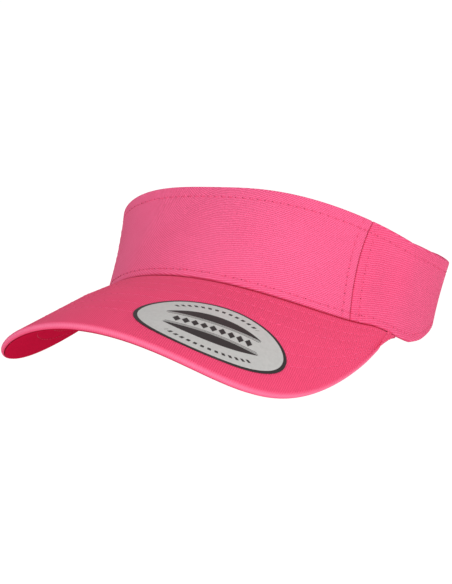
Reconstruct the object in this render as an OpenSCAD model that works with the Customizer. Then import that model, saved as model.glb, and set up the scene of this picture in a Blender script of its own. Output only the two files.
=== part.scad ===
// Sun visor: an open headband of cotton twill with a curved, stiffened brim and a
// hook-and-loop closure at the back. Millimetres. +Z is up, the front faces -Y and the
// wearer's left is +X. The visor stands on the rear of its band and the drooped sides of its
// brim. Places round the band are angles from the front: 90 is the wearer's left, 180 the rear.

/* [Headband outline] */
// Radius of the forehead arc
front_r = 80.5; // [70:0.5:95]
// Radius of the rear arc, which the closure strap slides round
rear_r = 69.5; // [60:0.5:82]
// Radius of the two temple arcs
side_r = 150; // [135:1:190]
// Distance between the centres of the front and rear arcs
arc_gap = 45; // [38:0.5:56]

/* [Headband height] */
// Height of the top edge at the front
top_front = 76.5; // [66:0.5:92]
// Height of the top edge at 45 degrees
top_quarter = 72.5; // [62:0.5:87]
// Height of the top edge at the temple
top_side = 46.5; // [40:0.5:56]
// Height that the top edge falls towards behind the temple
top_back = 27.5; // [24:0.5:33]
// Height of the band at the rear
rear_h = 31; // [26:0.5:37]

/* [Headband lean] */
// How far the top edge leans in at the front
lean_front = 33.5; // [28:0.5:40]
// How far the top edge leans in at 45 degrees
lean_quarter = 20; // [16:0.5:24]
// How far the top edge flares out at the temple
flare_side = 2.5; // [0:0.5:4]
// How far the top edge flares out at the rear
flare_rear = 8; // [5:0.5:9.5]
// Outward bulge of the forehead between its edges
bulge = 1.4; // [0:0.1:2]

/* [Panels] */
// Angle of the side seam at the bottom edge
seam_low = 56.5; // [50:0.5:62]
// Angle of the side seam at the top edge
seam_high = 70; // [63:0.5:76]
// Forward bow of the side seam, in degrees
seam_bow = 1.3; // [0:0.1:3]
// Angle at which the side panels end at the back
panel_end = 152; // [148:0.5:156]
// Thickness of the twill
twill_t = 0.8; // [0.6:0.1:1]
// Thickness of the stiff interlining
interlining_t = 0.6; // [0.4:0.1:0.8]
// Thickness of the lining
lining_t = 0.5; // [0.4:0.1:0.6]
// Depth of the lining below the outer face at the front
lining_depth = 1.7; // [1.7:0.1:2.2]

/* [Sweatband] */
// Height of the sweatband
sweatband_h = 28; // [22:1:30]
// Thickness of the sweatband cloth
sweatband_t = 0.8; // [0.6:0.1:1]
// Thickness of the foam behind it
foam_t = 1.8; // [1:0.1:2.2]
// Angle at which the sweatband ends
sweatband_end = 126; // [120:1:130]

/* [Brim] */
// Length of the brim at the middle, along its surface
brim_len = 65.5; // [55:0.5:79]
// Height of the brim where it meets the forehead
brim_z = 40; // [36:0.5:46]
// Downward tilt of the brim, in degrees
brim_tilt = 9; // [5:0.5:13]
// How much the brim's bend radius at the forehead exceeds the band's half width
bend_over = 15; // [13:0.5:38]
// Share of that radius lost at the tip of the brim
bend_taper = 0.1; // [0:0.01:0.14]
// Angle at which the brim runs out into the band
brim_end = 79; // [74:0.5:84]
// Thickness of the brim board
board_t = 1.8; // [1.4:0.1:2.2]
// Thickness of each brim cover
cover_t = 0.7; // [0.5:0.1:0.9]
// Rows of stitching on the brim
brim_rows = 6; // [3:1:8]

/* [Sticker] */
// Length of the oval sticker
sticker_l = 62; // [50:1:74]
// Width of the oval sticker
sticker_w = 35; // [29:1:42]
// Place of its centre across the brim, along the surface
sticker_x = 41; // [30:1:44]
// Place of its centre forward of the forehead
sticker_v = 36.5; // [34:0.5:40]
// Turn of its long axis back towards the temple, in degrees
sticker_turn = 22.5; // [0:0.5:30]
// Thickness of the sticker
sticker_t = 0.2; // [0.1:0.05:0.3]

/* [Closure] */
// Width of the straps
strap_w = 27; // [22:0.5:28]
// Thickness of the straps
strap_t = 1.1; // [0.8:0.1:1.3]
// Clearance between the strap and what it slides on
strap_gap = 0.4; // [0.3:0.05:0.5]
// Thickness of the hook tape
hook_t = 0.6; // [0.4:0.1:0.8]
// Thickness of the loop tape
loop_t = 0.7; // [0.5:0.1:0.9]
// Angle of the hook strap's hidden root
strap_root = 136; // [134:0.5:138]
// Angle at which the tab peels away
tab_root = 166; // [164:0.5:168]
// Angle of the tab's free end
tab_end = 198; // [192:0.5:199]
// Slide of the strap each way, in degrees
strap_slide = 8; // [4:0.5:9]

/* [Hidden] */

pink = "#EC5A8A";
pale_pink = "#F0709A";
thread_pink = "#D6417A";
ply_gap = 0.1;           // air between two plies of the same body
seam_gap = 0.2;          // half degrees left open at a seam
blend_half = 15;         // half width of the blend from the brim's line to the table
rear_from = 85;          // the plain rear cone starts to take over here
rear_to = 126;           // and has taken over here
edge_bow = 0.14;         // fullness of the brim's outline at its sides
edge_round = 0.23;       // fullness of the brim's outline near its middle
edge_power = 0.56;       // bluntness of the brim's ends
end_share = 0.988;       // the brim's ends stop just short of a point
lift_run = 25;           // distance over which the brim gains its thickness
board_inset = 2.5;       // brim board's edge behind the brim's edge
thread_w = 0.5;
thread_h = 0.25;
thread_lift = 0.12;      // keeps a straight-sided thread clear of the curved cloth under it
sweat_gap = 0.3;         // between the linings and the sweatband
label_t = 0.3;
top_stitch_drop = 5.5;   // top row of stitching below the top edge
base_stitch_rise = 3.5;  // bottom row of stitching above the bottom edge
seam_stitch_off = 3;     // degrees between a side seam and its stitching
row_pitch = 8.5;         // brim rows of stitching, along the brim
row_first = 6;
row_end = 62;            // the rows stop this far round towards the brim's ends
brim_station = 80;       // the brim's stations bunch towards its ends, up to this angle
label_w = 22;
label_h = 14;
label_low = 6;           // label above the bottom edge
label_at = 96;
seam_stitch_end = 0.12;  // share of the height left free at each end of a seam's stitching
stitch_end = 3;          // degrees between the rows on the band and the panels' ends
strap_stitch_in = 2.5;   // rows on the straps, in from their edges

brim_t = board_t + 2 * cover_t + 2 * ply_gap;
half_t = brim_t / 2;
edge_share = 1 + half_t / brim_len;
pocket_depth = twill_t + strap_gap;
pocket_floor = pocket_depth + strap_t + strap_gap + hook_t / 2;
lining_deep = max(lining_depth, twill_t + interlining_t + 3 * ply_gap);
tape_depth = pocket_depth + strap_t + ply_gap / 2;
pile_depth = tape_depth + hook_t + strap_gap;
loop_depth = pile_depth + loop_t + ply_gap / 2;
front_y = -(front_r + arc_gap / 2);
side_cy = (pow(side_r - front_r, 2) - pow(side_r - rear_r, 2)) / (2 * arc_gap);
side_cx = sqrt(pow(side_r - front_r, 2) - pow(side_cy + arc_gap / 2, 2));
front_arc = atan2(side_cx, side_cy + arc_gap / 2);
rear_arc = atan2(side_cx, side_cy - arc_gap / 2);
bend_r = oval(brim_end).x + bend_over;

// ---- curves ------------------------------------------------------------------------------

function ease(a, b, x) = let (t = min(1, max(0, (x - a) / (b - a)))) t * t * (3 - 2 * t);
function mix(a, b, w) = a + (b - a) * w;
function unit(v) = v / norm(v);
function steps(a, b, n) = [for (i = [0:n]) mix(a, b, i / n)];

// The oval that the bottom edge follows: tangent arcs, reached by the direction they face.
function oval(a) =
    abs(a) < front_arc ? [front_r * sin(a), -arc_gap / 2 - front_r * cos(a)]
    : abs(a) < rear_arc ? [side_r * sin(a) - sign(a) * side_cx, side_cy - side_r * cos(a)]
    : [rear_r * sin(a), arc_gap / 2 - rear_r * cos(a)];

function rear_share(a) = ease(rear_from, rear_to, abs(a));

// A cosine curve through its values at 0, 45, 90 and 135 degrees.
function wave4(a, v0, v45, v90, v135) =
    let (m = (v45 + v135) / 2, c2 = m - v90, d = (v45 - v135) / sqrt(2), e = v0 - m - c2)
    m + (e + d) / 2 * cos(a) + c2 * cos(2 * a) + (e - d) / 2 * cos(3 * a);

// A cosine curve through its values at 0, 45 and 90 degrees.
function wave3(a, v0, v45, v90) =
    let (m = (sqrt(0.5) * (v0 + v90) - v45) / (sqrt(2) - 1), c2 = m - v90)
    m + (v0 - m - c2) * cos(a) + c2 * cos(2 * a);

// ---- brim surface: a flat crescent bent round a sloping cylinder -------------------------

function bend_at(v) = bend_r * (1 - bend_taper * v / brim_len);
function sag(x, r) = r - sqrt(r * r - x * x);
function flat_v(x, y, v = 0, n = 4) = n == 0 ? v
    : flat_v(x, y, (front_y - y + sag(x, bend_at(v)) * sin(brim_tilt)) / cos(brim_tilt), n - 1);
function flat_u(x, v) = bend_at(v) * asin(x / bend_at(v)) * PI / 180;
function bent(u, v) = let (r = bend_at(v), f = u / r * 180 / PI, drop = r * (1 - cos(f)))
    [r * sin(f), front_y - v * cos(brim_tilt) + drop * sin(brim_tilt),
    brim_z - v * sin(brim_tilt) - drop * cos(brim_tilt)];
function bent_up(u, v) = let (f = u / bend_at(v) * 180 / PI)
    [sin(f), -sin(brim_tilt) * cos(f), cos(brim_tilt) * cos(f)];

// ---- band wall ---------------------------------------------------------------------------

function low_z(a) = let (q = oval(a), v = flat_v(q.x, q.y), z = bent(flat_u(q.x, v), v).z)
    z * (1 - ease(brim_end - blend_half, brim_end + blend_half, abs(a)));
function high_z(a) = mix(wave4(a, top_front, top_quarter, top_side, top_back), rear_h,
    rear_share(a));
function lean(a) = mix(wave3(a, lean_front, lean_quarter, -flare_side), -flare_rear,
    rear_share(a));
function swell(a) = bulge * (0.7 * cos(a) + 0.3 * cos(2 * a)) * (1 - rear_share(a));
function wall(a, t) = let (q = oval(a), o = lean(a) * t - swell(a) * 4 * t * (1 - t))
    [q.x - sin(a) * o, q.y + cos(a) * o, mix(low_z(a), high_z(a), t)];
function wall_out(a, t) = unit(cross(wall(a + 1, t) - wall(a - 1, t),
    wall(a, t + 0.05) - wall(a, t - 0.05)));
function wall_len(a) = norm(wall(a, 1) - wall(a, 0));
// Point at angle a, share t of the height and depth d below the outer face.
function band(a, t, d = 0) = wall(a, t) - wall_out(a, t) * d;
function seam(t) = mix(seam_low, seam_high, t) - 4 * seam_bow * t * (1 - t);
function lining_at(a) = mix(lining_deep, pocket_floor, ease(seam_high, rear_from, abs(a)));
function sweat_at(a) = lining_at(a) + lining_t + sweat_gap
    + (foam_t + ply_gap) * (1 - ease(seam_low - 8, seam_low + 8, abs(a)));

// ---- brim ----------------------------------------------------------------------------------

function band_v(x) = let (q = oval(asin(min(1, abs(x) / front_r)))) flat_v(q.x, q.y);
// The top cover starts level with the bent surface at the band, and rises above it until the
// surface runs through the middle of the brim's thickness.
function lift(u, v) = half_t * min(1, max(0, v - band_v(bent(u, v).x)) / lift_run);
function rim_flat() = let (q = oval(brim_end), v = flat_v(q.x, q.y)) [flat_u(q.x, v), v];
// Point at share s across the brim (-1 to 1), share r along it and depth d below its top.
function brim(s, r, d = 0) =
    let (a = s * brim_end, t = s * 90, c = cos(t), q = oval(a), p = [q.x, q.y, low_z(a)],
        v0 = flat_v(q.x, q.y), u0 = flat_u(q.x, v0), e = rim_flat(),
        u1 = e.x * sin(t) * (1 + edge_bow * c * c + edge_round * pow(c, 4)),
        v1 = e.y + (brim_len - e.y) * pow(c, edge_power),
        u = mix(u0, u1, r), v = mix(v0, v1, r))
    bent(u, v) + (p - bent(u0, v0)) * (1 - r) + bent_up(u, v) * (lift(u, v) - d);

place_y = -(brim(0, edge_share).y + band(180, 1, pocket_depth).y) / 2;
place_z = -min([for (s = steps(-1, 0, 60)) brim(s * end_share, edge_share, brim_t).z]);

// ---- solids --------------------------------------------------------------------------------

module place() translate([0, place_y, place_z]) children();

// A closed sheet between two grids of points: over is its outer face, under its inner one.
module sheet(over, under) {
    n = len(over);
    m = len(over[0]);
    k = n * m;
    points = [for (row = over) each row, for (row = under) each row];
    faces = [
        for (i = [0:n - 2], j = [0:m - 2]) let (a = i * m + j, b = a + 1, c = b + m, d = a + m)
            each [[a, b, c], [a, c, d], [a + k, c + k, b + k], [a + k, d + k, c + k]],
        for (i = [0:n - 2]) let (a = i * m, d = a + m, b = a + m - 1, c = b + m)
            each [[a, d, d + k], [a, d + k, a + k], [c, b, b + k], [c, b + k, c + k]],
        for (j = [0:m - 2]) let (a = j, b = a + 1, d = (n - 1) * m + j, c = d + 1)
            each [[b, a, a + k], [b, a + k, b + k], [d, c, c + k], [d, c + k, d + k]]];
    polyhedron(points, faces);
}

// Part of the band wall from depth d0 to d1, over a grid of [angle, share of height].
module wall_sheet(grid, d0, d1) place() sheet(
    [for (row = grid) [for (g = row) band(g[0], g[1], d0 + g[2])]],
    [for (row = grid) [for (g = row) band(g[0], g[1], d1 + g[2])]]);

function front_grid(inset, t0, t1, n = 34, m = 5) = [for (x = steps(-1, 1, n))
    [for (t = steps(t0, t1, m)) [x * (seam(t) - inset), t, 0]]];
function side_grid(side, from, to, t0, t1, n = 20, m = 5) =
    [for (x = side > 0 ? steps(0, 1, n) : steps(1, 0, n)) [for (t = steps(t0, t1, m))
        let (a = mix(seam(t) + from, to, x)) [side * a, t, 0]]];
// The same grid, pushed in by the depth that the lining has at each angle.
function at_lining(grid) = [for (row = grid) [for (g = row) [g[0], g[1], lining_at(g[0])]]];

module side_panel(side) color(pink)
    wall_sheet(side_grid(side, seam_gap, panel_end, 0, 1), 0, twill_t);
module side_lining(side) color(pale_pink) wall_sheet(
    at_lining(side_grid(side, seam_gap, panel_end - 0.5, 0.02, 0.97)), 0, lining_t);

// A line of thread on the band, along a list of [angle, share of height].
module band_thread(path, across) place() sheet(
    [for (p = path) [band(p[0] - across[0], p[1] - across[1], -thread_lift - thread_h),
        band(p[0] + across[0], p[1] + across[1], -thread_lift - thread_h)]],
    [for (p = path) [band(p[0] - across[0], p[1] - across[1], -thread_lift),
        band(p[0] + across[0], p[1] + across[1], -thread_lift)]]);

// Part of a brim ply, from depth d0 to d1.
module brim_sheet(r1, d0, d1, n = 40, m = 5) {
    across = [for (x = steps(-brim_station, brim_station, n))
        end_share * sin(x) / sin(brim_station)];
    place() sheet([for (s = across) [for (r = steps(r1, 0, m)) brim(s, r, d0)]],
        [for (s = across) [for (r = steps(r1, 0, m)) brim(s, r, d1)]]);
}

module brim_thread(v) place() {
    r0 = (v - thread_w / 2) / brim_len;
    r1 = (v + thread_w / 2) / brim_len;
    low = thread_lift;
    high = thread_lift + thread_h;
    across = [for (x = steps(-row_end, row_end, 32)) sin(x)];
    sheet([for (s = across) [brim(s, r1, -high), brim(s, r0, -high)]],
        [for (s = across) [brim(s, r1, -low), brim(s, r0, -low)]]);
}

// Part of a strap round the rear, from angle a0 to a1 and depth d0 to d1. Its height runs
// from share t0 to t1 of the wall, and ends rounds its free corners.
strap_low = (1 - strap_w / rear_h) / 2;
strap_high = 1 - strap_low;
module strap(a0, a1, d0, d1, inset = 0, round_end = 0, n = 14) {
    t0 = strap_low + inset / rear_h;
    t1 = strap_high - inset / rear_h;
    function cut(a) = round_end == 0 ? 0
        : let (x = max(0, 1 - abs(a - a1) / round_end)) (1 - sqrt(1 - x * x)) * 0.3;
    wall_sheet([for (a = steps(a0, a1, n))
        [for (t = steps(mix(t0, t1, cut(a)), mix(t1, t0, cut(a)), 3)) [a, t, 0]]], d0, d1);
}

module strap_thread(a0, a1, side) {
    t = side < 0 ? strap_low + strap_stitch_in / rear_h : strap_high - strap_stitch_in / rear_h;
    w = thread_w / 2 / rear_h;
    place() sheet(
        [for (a = steps(a0, a1, 8)) [band(a, t - w, pocket_depth - thread_h),
            band(a, t + w, pocket_depth - thread_h)]],
        [for (a = steps(a0, a1, 8)) [band(a, t - w, pocket_depth - thread_lift / 2),
            band(a, t + w, pocket_depth - thread_lift / 2)]]);
}

// ---- sub-parts -----------------------------------------------------------------------------

module front_panel() color(pink) wall_sheet(front_grid(seam_gap, 0, 1), 0, twill_t);

module left_side_panel() side_panel(1);

module right_side_panel() side_panel(-1);

module front_interlining() color("white") wall_sheet(front_grid(1.5, 0.04, 0.95),
    twill_t + ply_gap, twill_t + ply_gap + interlining_t);

module front_lining() color(pale_pink)
    wall_sheet(at_lining(front_grid(seam_gap, 0.02, 0.97)), 0, lining_t);

module left_lining() side_lining(1);

module right_lining() side_lining(-1);

module sweatband() color(pink) wall_sheet([for (a = steps(-sweatband_end, sweatband_end, 48))
    [for (h = steps(1, sweatband_h, 3)) [a, h / wall_len(a), sweat_at(a)]]], 0, sweatband_t);

module sweatband_foam() color("ivory")
    wall_sheet([for (a = steps(10 - seam_low, seam_low - 10, 24))
        [for (h = steps(3, sweatband_h - 3, 3)) [a, h / wall_len(a), lining_at(a)]]],
        lining_t + ply_gap, lining_t + ply_gap + foam_t);

// A blank folded label, sewn in behind the left temple.
module care_label() color("white") {
    depth = pocket_floor + lining_t + 2 * sweat_gap + sweatband_t;
    half = label_w / 2 / rear_r * 180 / PI;
    wall_sheet([for (a = steps(label_at - half, label_at + half, 6))
        [for (h = steps(label_low, label_low + label_h, 2)) [a, h / wall_len(a), 0]]],
        depth, depth + label_t);
}

module brim_board() color("whitesmoke") brim_sheet(1 - board_inset / brim_len,
    cover_t + ply_gap, cover_t + ply_gap + board_t);

module brim_top_cover() color(pink) brim_sheet(edge_share, 0, cover_t);

module brim_under_cover() color(pink) brim_sheet(edge_share, brim_t - cover_t, brim_t);

module brim_stitching() color(thread_pink)
    for (i = [0:brim_rows - 1]) brim_thread(row_first + i * row_pitch);

module top_edge_stitching() color(thread_pink) {
    drop = [for (a = steps(-panel_end + stitch_end, panel_end - stitch_end, 90))
        [a, 1 - top_stitch_drop / wall_len(a)]];
    band_thread(drop, [0, thread_w / 2 / rear_h]);
}

module base_stitching() color(thread_pink) {
    rise = [for (a = steps(-panel_end + stitch_end, panel_end - stitch_end, 90))
        [a, base_stitch_rise / wall_len(a)]];
    band_thread(rise, [0, thread_w / 2 / rear_h]);
}

module seam_stitching() color(thread_pink)
    for (side = [-1, 1], off = [-seam_stitch_off, seam_stitch_off])
        band_thread([for (t = steps(1 - seam_stitch_end, seam_stitch_end, 8))
            [side * (seam(t) + off), t]], [thread_w / 2 / front_r * 180 / PI, 0]);

// A foil sticker that lies on the brim: a fan of rings round its middle.
module brim_sticker() {
    n = 48;
    function spot(k, a, d) =
        let (x = k * sticker_l / 2 * cos(a), y = k * sticker_w / 2 * sin(a),
            u = sticker_x + x * cos(sticker_turn) + y * sin(sticker_turn),
            v = sticker_v - x * sin(sticker_turn) + y * cos(sticker_turn))
        bent(u, v) + bent_up(u, v) * (lift(u, v) + d);
    sheet_low = thread_lift + thread_h + ply_gap;
    rings = steps(0.2, 1, 4);
    top = [spot(0, 0, sheet_low + sticker_t),
        for (k = rings, i = [0:n - 1]) spot(k, i * 360 / n, sheet_low + sticker_t)];
    low = [spot(0, 0, sheet_low), for (k = rings, i = [0:n - 1]) spot(k, i * 360 / n, sheet_low)];
    s = len(top);
    fan = [for (i = [0:n - 1]) [0, 1 + i, 1 + (i + 1) % n],
        for (j = [0:len(rings) - 2], i = [0:n - 1])
            let (a = 1 + j * n + i, b = 1 + j * n + (i + 1) % n)
            each [[a, a + n, b + n], [a, b + n, b]]];
    rim = [for (i = [0:n - 1])
        let (a = 1 + (len(rings) - 1) * n + i, b = 1 + (len(rings) - 1) * n + (i + 1) % n)
        each [[a, a + s, b + s], [a, b + s, b]]];
    back = [for (f = fan) [f[0] + s, f[2] + s, f[1] + s]];
    color("silver") place() polyhedron(concat(top, low), concat(fan, rim, back));
}

module loop_strap() color(pink) wall_sheet([for (a = steps(tab_root - 6, 360 - panel_end + 9, 22))
    [for (t = steps(strap_low, strap_high, 3))
        [a, t, -(loop_depth - pocket_floor - lining_t - ply_gap)
            * ease(tab_end + 2, 360 - panel_end, a)]]], loop_depth, loop_depth + strap_t);

module loop_tape() color("#E889A8")
    strap(tab_root - 5, tab_end + 2, pile_depth, pile_depth + loop_t, inset = 2);

module hook_strap() color(pink)
    strap(strap_root, tab_root - 0.3, pocket_depth, pocket_depth + strap_t);

module strap_stitching() color(thread_pink) for (side = [-1, 1])
    strap_thread(panel_end + strap_slide + 1.5, tab_root - 1, side);

module hook_tab() color(pink) strap(tab_root + 0.3, tab_end, pocket_depth,
    pocket_depth + strap_t, round_end = 6, n = 20);

module hook_tape() color("#E07A9C")
    strap(tab_root + 2, tab_end - 7, tape_depth, tape_depth + hook_t, inset = 3);

module tab_stitching() color(thread_pink) for (side = [-1, 1])
    strap_thread(tab_root + 1, tab_end - 7, side);

front_panel();
left_side_panel();
right_side_panel();
front_interlining();
front_lining();
left_lining();
right_lining();
sweatband();
sweatband_foam();
care_label();
brim_board();
brim_top_cover();
brim_under_cover();
brim_stitching();
top_edge_stitching();
base_stitching();
seam_stitching();
brim_sticker();
loop_strap();
loop_tape();
hook_strap();
strap_stitching();
hook_tab();
hook_tape();
tab_stitching();
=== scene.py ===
# %% [markdown]
# A sun visor is an open headband of cotton twill with a stiff, curved brim and a hook-and-loop
# strap behind. This lesson dresses its plain CAD model in cloth, thread, foil and tape. It
# could be sculpted by hand, but every sheet of a visor follows a rule: an oval band that leans,
# and a brim bent from a flat crescent. So each cloth is a fine grid of points worked out from
# the same measures as the CAD model, and Blender adds thickness, rolled edges and weave.

# %% Load the frame
import math

import bpy
import numpy as np
from mathutils import Matrix, Vector


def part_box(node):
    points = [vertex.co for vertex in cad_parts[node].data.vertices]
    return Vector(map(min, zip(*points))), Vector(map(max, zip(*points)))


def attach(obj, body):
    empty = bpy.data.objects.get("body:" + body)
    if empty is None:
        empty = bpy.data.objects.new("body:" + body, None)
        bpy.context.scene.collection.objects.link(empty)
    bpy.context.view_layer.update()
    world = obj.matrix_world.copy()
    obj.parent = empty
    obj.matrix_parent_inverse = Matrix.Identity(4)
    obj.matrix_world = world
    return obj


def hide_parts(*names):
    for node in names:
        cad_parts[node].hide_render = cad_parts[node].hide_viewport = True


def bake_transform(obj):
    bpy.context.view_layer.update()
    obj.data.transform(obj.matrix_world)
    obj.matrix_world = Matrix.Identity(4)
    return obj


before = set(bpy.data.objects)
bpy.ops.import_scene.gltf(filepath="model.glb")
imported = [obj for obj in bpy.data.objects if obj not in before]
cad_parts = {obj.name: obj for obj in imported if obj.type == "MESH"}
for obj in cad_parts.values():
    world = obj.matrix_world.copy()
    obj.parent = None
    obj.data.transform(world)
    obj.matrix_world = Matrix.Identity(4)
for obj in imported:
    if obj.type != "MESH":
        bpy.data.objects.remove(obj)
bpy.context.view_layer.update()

# %% [markdown]
# The camera comes first, so that every try can be judged at once. It stands close, a little
# above the visor and towards the wearer's left. One function places anything on an orbit round
# the visor, and the lamps use it too.

# %% The camera
AIM = Vector((-0.0171, 0.0030, 0.0198))
CAMERA_AT = {"azimuth": 31.08, "elevation": 10.04, "distance": 0.4604, "roll": -1.17}
LENS, SENSOR = 54.84, 36.0


def orbit(azimuth, elevation, distance, aim=AIM, roll=0.0):
    """A matrix whose -Z axis looks at aim, from that side (0 is the front) and height."""
    a, e, r = (math.radians(x) for x in (azimuth, elevation, roll))
    back = Vector((math.sin(a) * math.cos(e), -math.cos(a) * math.cos(e), math.sin(e)))
    right = Vector((math.cos(a), math.sin(a), 0))
    up = back.cross(right)
    across = right * math.cos(r) + up * math.sin(r)
    upward = up * math.cos(r) - right * math.sin(r)
    matrix = Matrix((across, upward, back)).transposed().to_4x4()
    matrix.translation = aim + back * distance
    return matrix


def place_in_scene(name, data, matrix=None):
    thing = bpy.data.objects.new(name, data)
    bpy.context.scene.collection.objects.link(thing)
    if matrix is not None:
        thing.matrix_world = matrix
    return thing


camera_data = bpy.data.cameras.new("camera")
camera_data.lens = LENS
camera_data.sensor_width = SENSOR
camera_data.clip_start = 0.01
camera = place_in_scene("camera", camera_data, orbit(**CAMERA_AT))
bpy.context.scene.camera = camera
bpy.context.scene.view_settings.view_transform = "Standard"
print("camera at", [round(x, 3) for x in camera.location])

# %% [markdown]
# A white studio: a table lit from within, which leaves almost no shadow and brightens the brim
# from below; a white backdrop; a large soft key lamp on the wearer's left; and two gentler lamps,
# in front and above. The backdrop is seen by the camera only, so that it stays white without
# washing out the shading on the cloth.

# %% The studio
def lit_material(name, grey):
    """A grey that glows white, for what isn't part of the visor."""
    material = bpy.data.materials.new(name)
    material.use_nodes = True
    inputs = material.node_tree.nodes["Principled BSDF"].inputs
    inputs["Base Color"].default_value = (grey, grey, grey, 1)
    inputs["Roughness"].default_value = 0.8
    inputs["Emission Color"].default_value = (1, 1, 1, 1)
    inputs["Emission Strength"].default_value = 1.0
    return material


def softbox(name, azimuth, elevation, distance, size, power):
    lamp = bpy.data.lights.new(name, "AREA")
    lamp.shape = "DISK"
    lamp.size = size
    lamp.energy = power
    return place_in_scene(name, lamp, orbit(azimuth, elevation, distance))


ROOM = 6.0
bpy.ops.mesh.primitive_circle_add(vertices=64, radius=ROOM, fill_type="NGON")
table = bpy.context.object
table.name = "table"
table.data.materials.append(lit_material("lit_table", 0.05))
bpy.ops.mesh.primitive_uv_sphere_add(segments=48, ring_count=24, radius=ROOM)
backdrop = bpy.context.object
backdrop.name = "backdrop"
backdrop.data.materials.append(lit_material("white_backdrop", 0.0))
for ray in ("diffuse", "glossy", "transmission", "volume_scatter", "shadow"):
    setattr(backdrop, "visible_" + ray, False)

world = bpy.data.worlds.new("studio")
world.use_nodes = True
sky = world.node_tree.nodes["Background"].inputs
sky["Color"].default_value = (1, 1, 1, 1)
sky["Strength"].default_value = 0.36
bpy.context.scene.world = world
softbox("key_lamp", 52, 24, 1.3, 0.9, 9.5)
softbox("front_lamp", 5, 8, 1.5, 0.7, 2.2)
softbox("top_lamp", -20, 66, 1.3, 0.9, 4)

# %% [markdown]
# The measures below are the ones that the patterns were cut to. The band's bottom edge is an
# oval of tangent arcs, told by the direction that each point faces: 0 is the front, 90 the
# wearer's left and 180 the rear. Lengths are in metres and angles in degrees.

# %% The measures of the visor
FRONT_R, REAR_R, SIDE_R, ARC_GAP = 0.0805, 0.0695, 0.150, 0.045
TOP_FRONT, TOP_QUARTER, TOP_SIDE, TOP_BACK = 0.0765, 0.0725, 0.0465, 0.0275
REAR_H = 0.031
LEAN_FRONT, LEAN_QUARTER, FLARE_SIDE, FLARE_REAR = 0.0335, 0.020, 0.0025, 0.008
BULGE = 0.0014
SEAM_LOW, SEAM_HIGH, SEAM_BOW = 56.5, 70.0, 1.3
PANEL_END = 152.0
REAR_FROM, REAR_TO = 85.0, 126.0
BRIM_LEN, BRIM_Z, BRIM_TILT = 0.0655, 0.040, 9.0
BRIM_END, BLEND_HALF = 79.0, 15.0
BEND_OVER, BEND_TAPER = 0.015, 0.1
BEND_R = FRONT_R * math.sin(math.radians(BRIM_END)) + BEND_OVER
EDGE_BOW, EDGE_ROUND, EDGE_POWER = 0.14, 0.23, 0.56
LIFT_RUN = 0.025
TWILL_T, LINING_T, LINING_DEPTH = 0.0008, 0.0005, 0.0017
COVER_T, BOARD_T, PLY_GAP = 0.0007, 0.0018, 0.0001
BRIM_T = BOARD_T + 2 * COVER_T + 2 * PLY_GAP
FRONT_Y = -(FRONT_R + ARC_GAP / 2)
TILT = math.radians(BRIM_TILT)

SIDE_CY = ((SIDE_R - FRONT_R) ** 2 - (SIDE_R - REAR_R) ** 2) / (2 * ARC_GAP)
SIDE_CX = math.sqrt((SIDE_R - FRONT_R) ** 2 - (SIDE_CY + ARC_GAP / 2) ** 2)
FRONT_ARC = math.degrees(math.atan2(SIDE_CX, SIDE_CY + ARC_GAP / 2))
REAR_ARC = math.degrees(math.atan2(SIDE_CX, SIDE_CY - ARC_GAP / 2))
print("the front arc ends at", round(FRONT_ARC, 1), "and the rear one starts at",
      round(REAR_ARC, 1), "degrees")

# %% [markdown]
# The brim is a flat crescent of board, bent over a sloping cylinder. A place on it is told by
# its flat coordinates: u across the board and v forward from the forehead. Because the cloth
# is cut flat too, the same coordinates later carry the weave, which then bends with the brim.

# %% The brim's bent surface
def ease(a, b, x):
    t = np.clip((x - a) / (b - a), 0, 1)
    return t * t * (3 - 2 * t)


def mix(a, b, share):
    return a + (b - a) * share


def unit(v):
    return v / np.maximum(np.linalg.norm(v, axis=-1, keepdims=True), 1e-12)


def bend_at(v):
    return BEND_R * (1 - BEND_TAPER * v / BRIM_LEN)


def flat_v(x, y):
    """How far forward a place seen from above lies along the bent board."""
    v = np.zeros_like(x)
    for _ in range(4):
        r = bend_at(v)
        sag = r - np.sqrt(np.maximum(r * r - x * x, 0))
        v = (FRONT_Y - y + sag * math.sin(TILT)) / math.cos(TILT)
    return v


def flat_u(x, v):
    """How far across the board a place lies."""
    return bend_at(v) * np.arcsin(np.clip(x / bend_at(v), -1, 1))


def bent(u, v):
    """Where the bend takes a flat place."""
    r = bend_at(v)
    drop = r * (1 - np.cos(u / r))
    return np.stack([r * np.sin(u / r),
                     FRONT_Y - v * math.cos(TILT) + drop * math.sin(TILT),
                     BRIM_Z - v * math.sin(TILT) - drop * math.cos(TILT)], -1)


def bent_up(u, v):
    """The direction square to the bent board, upwards."""
    f = u / bend_at(v)
    return np.stack([np.sin(f), -math.sin(TILT) * np.cos(f), math.cos(TILT) * np.cos(f)], -1)


middle = bent(np.array([0.0, 0.05]), np.array([BRIM_LEN, 0.0]))
print("from its middle to 50 mm aside, the brim droops by",
      round(float(BRIM_Z - middle[1, 2]) * 1000, 1), "mm")

# %% [markdown]
# The band's wall rises from that surface at the front and from the table behind. Its top edge
# dips towards the temples, leans in at the forehead and flares out behind, as a band cut from
# a curved pattern does. Smooth cosine curves carry those few measured heights round the head.

# %% The band's wall
def oval(a):
    """The band's outline on plan, at the direction that it faces."""
    s, c, size = np.sin(np.radians(a)), np.cos(np.radians(a)), np.abs(a)
    x = np.where(size < FRONT_ARC, FRONT_R * s,
                 np.where(size < REAR_ARC, SIDE_R * s - np.sign(a) * SIDE_CX, REAR_R * s))
    y = np.where(size < FRONT_ARC, -ARC_GAP / 2 - FRONT_R * c,
                 np.where(size < REAR_ARC, SIDE_CY - SIDE_R * c, ARC_GAP / 2 - REAR_R * c))
    return x, y


def rear_share(a):
    """0 over the front of the band and 1 over its rear."""
    return ease(REAR_FROM, REAR_TO, np.abs(a))


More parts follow.
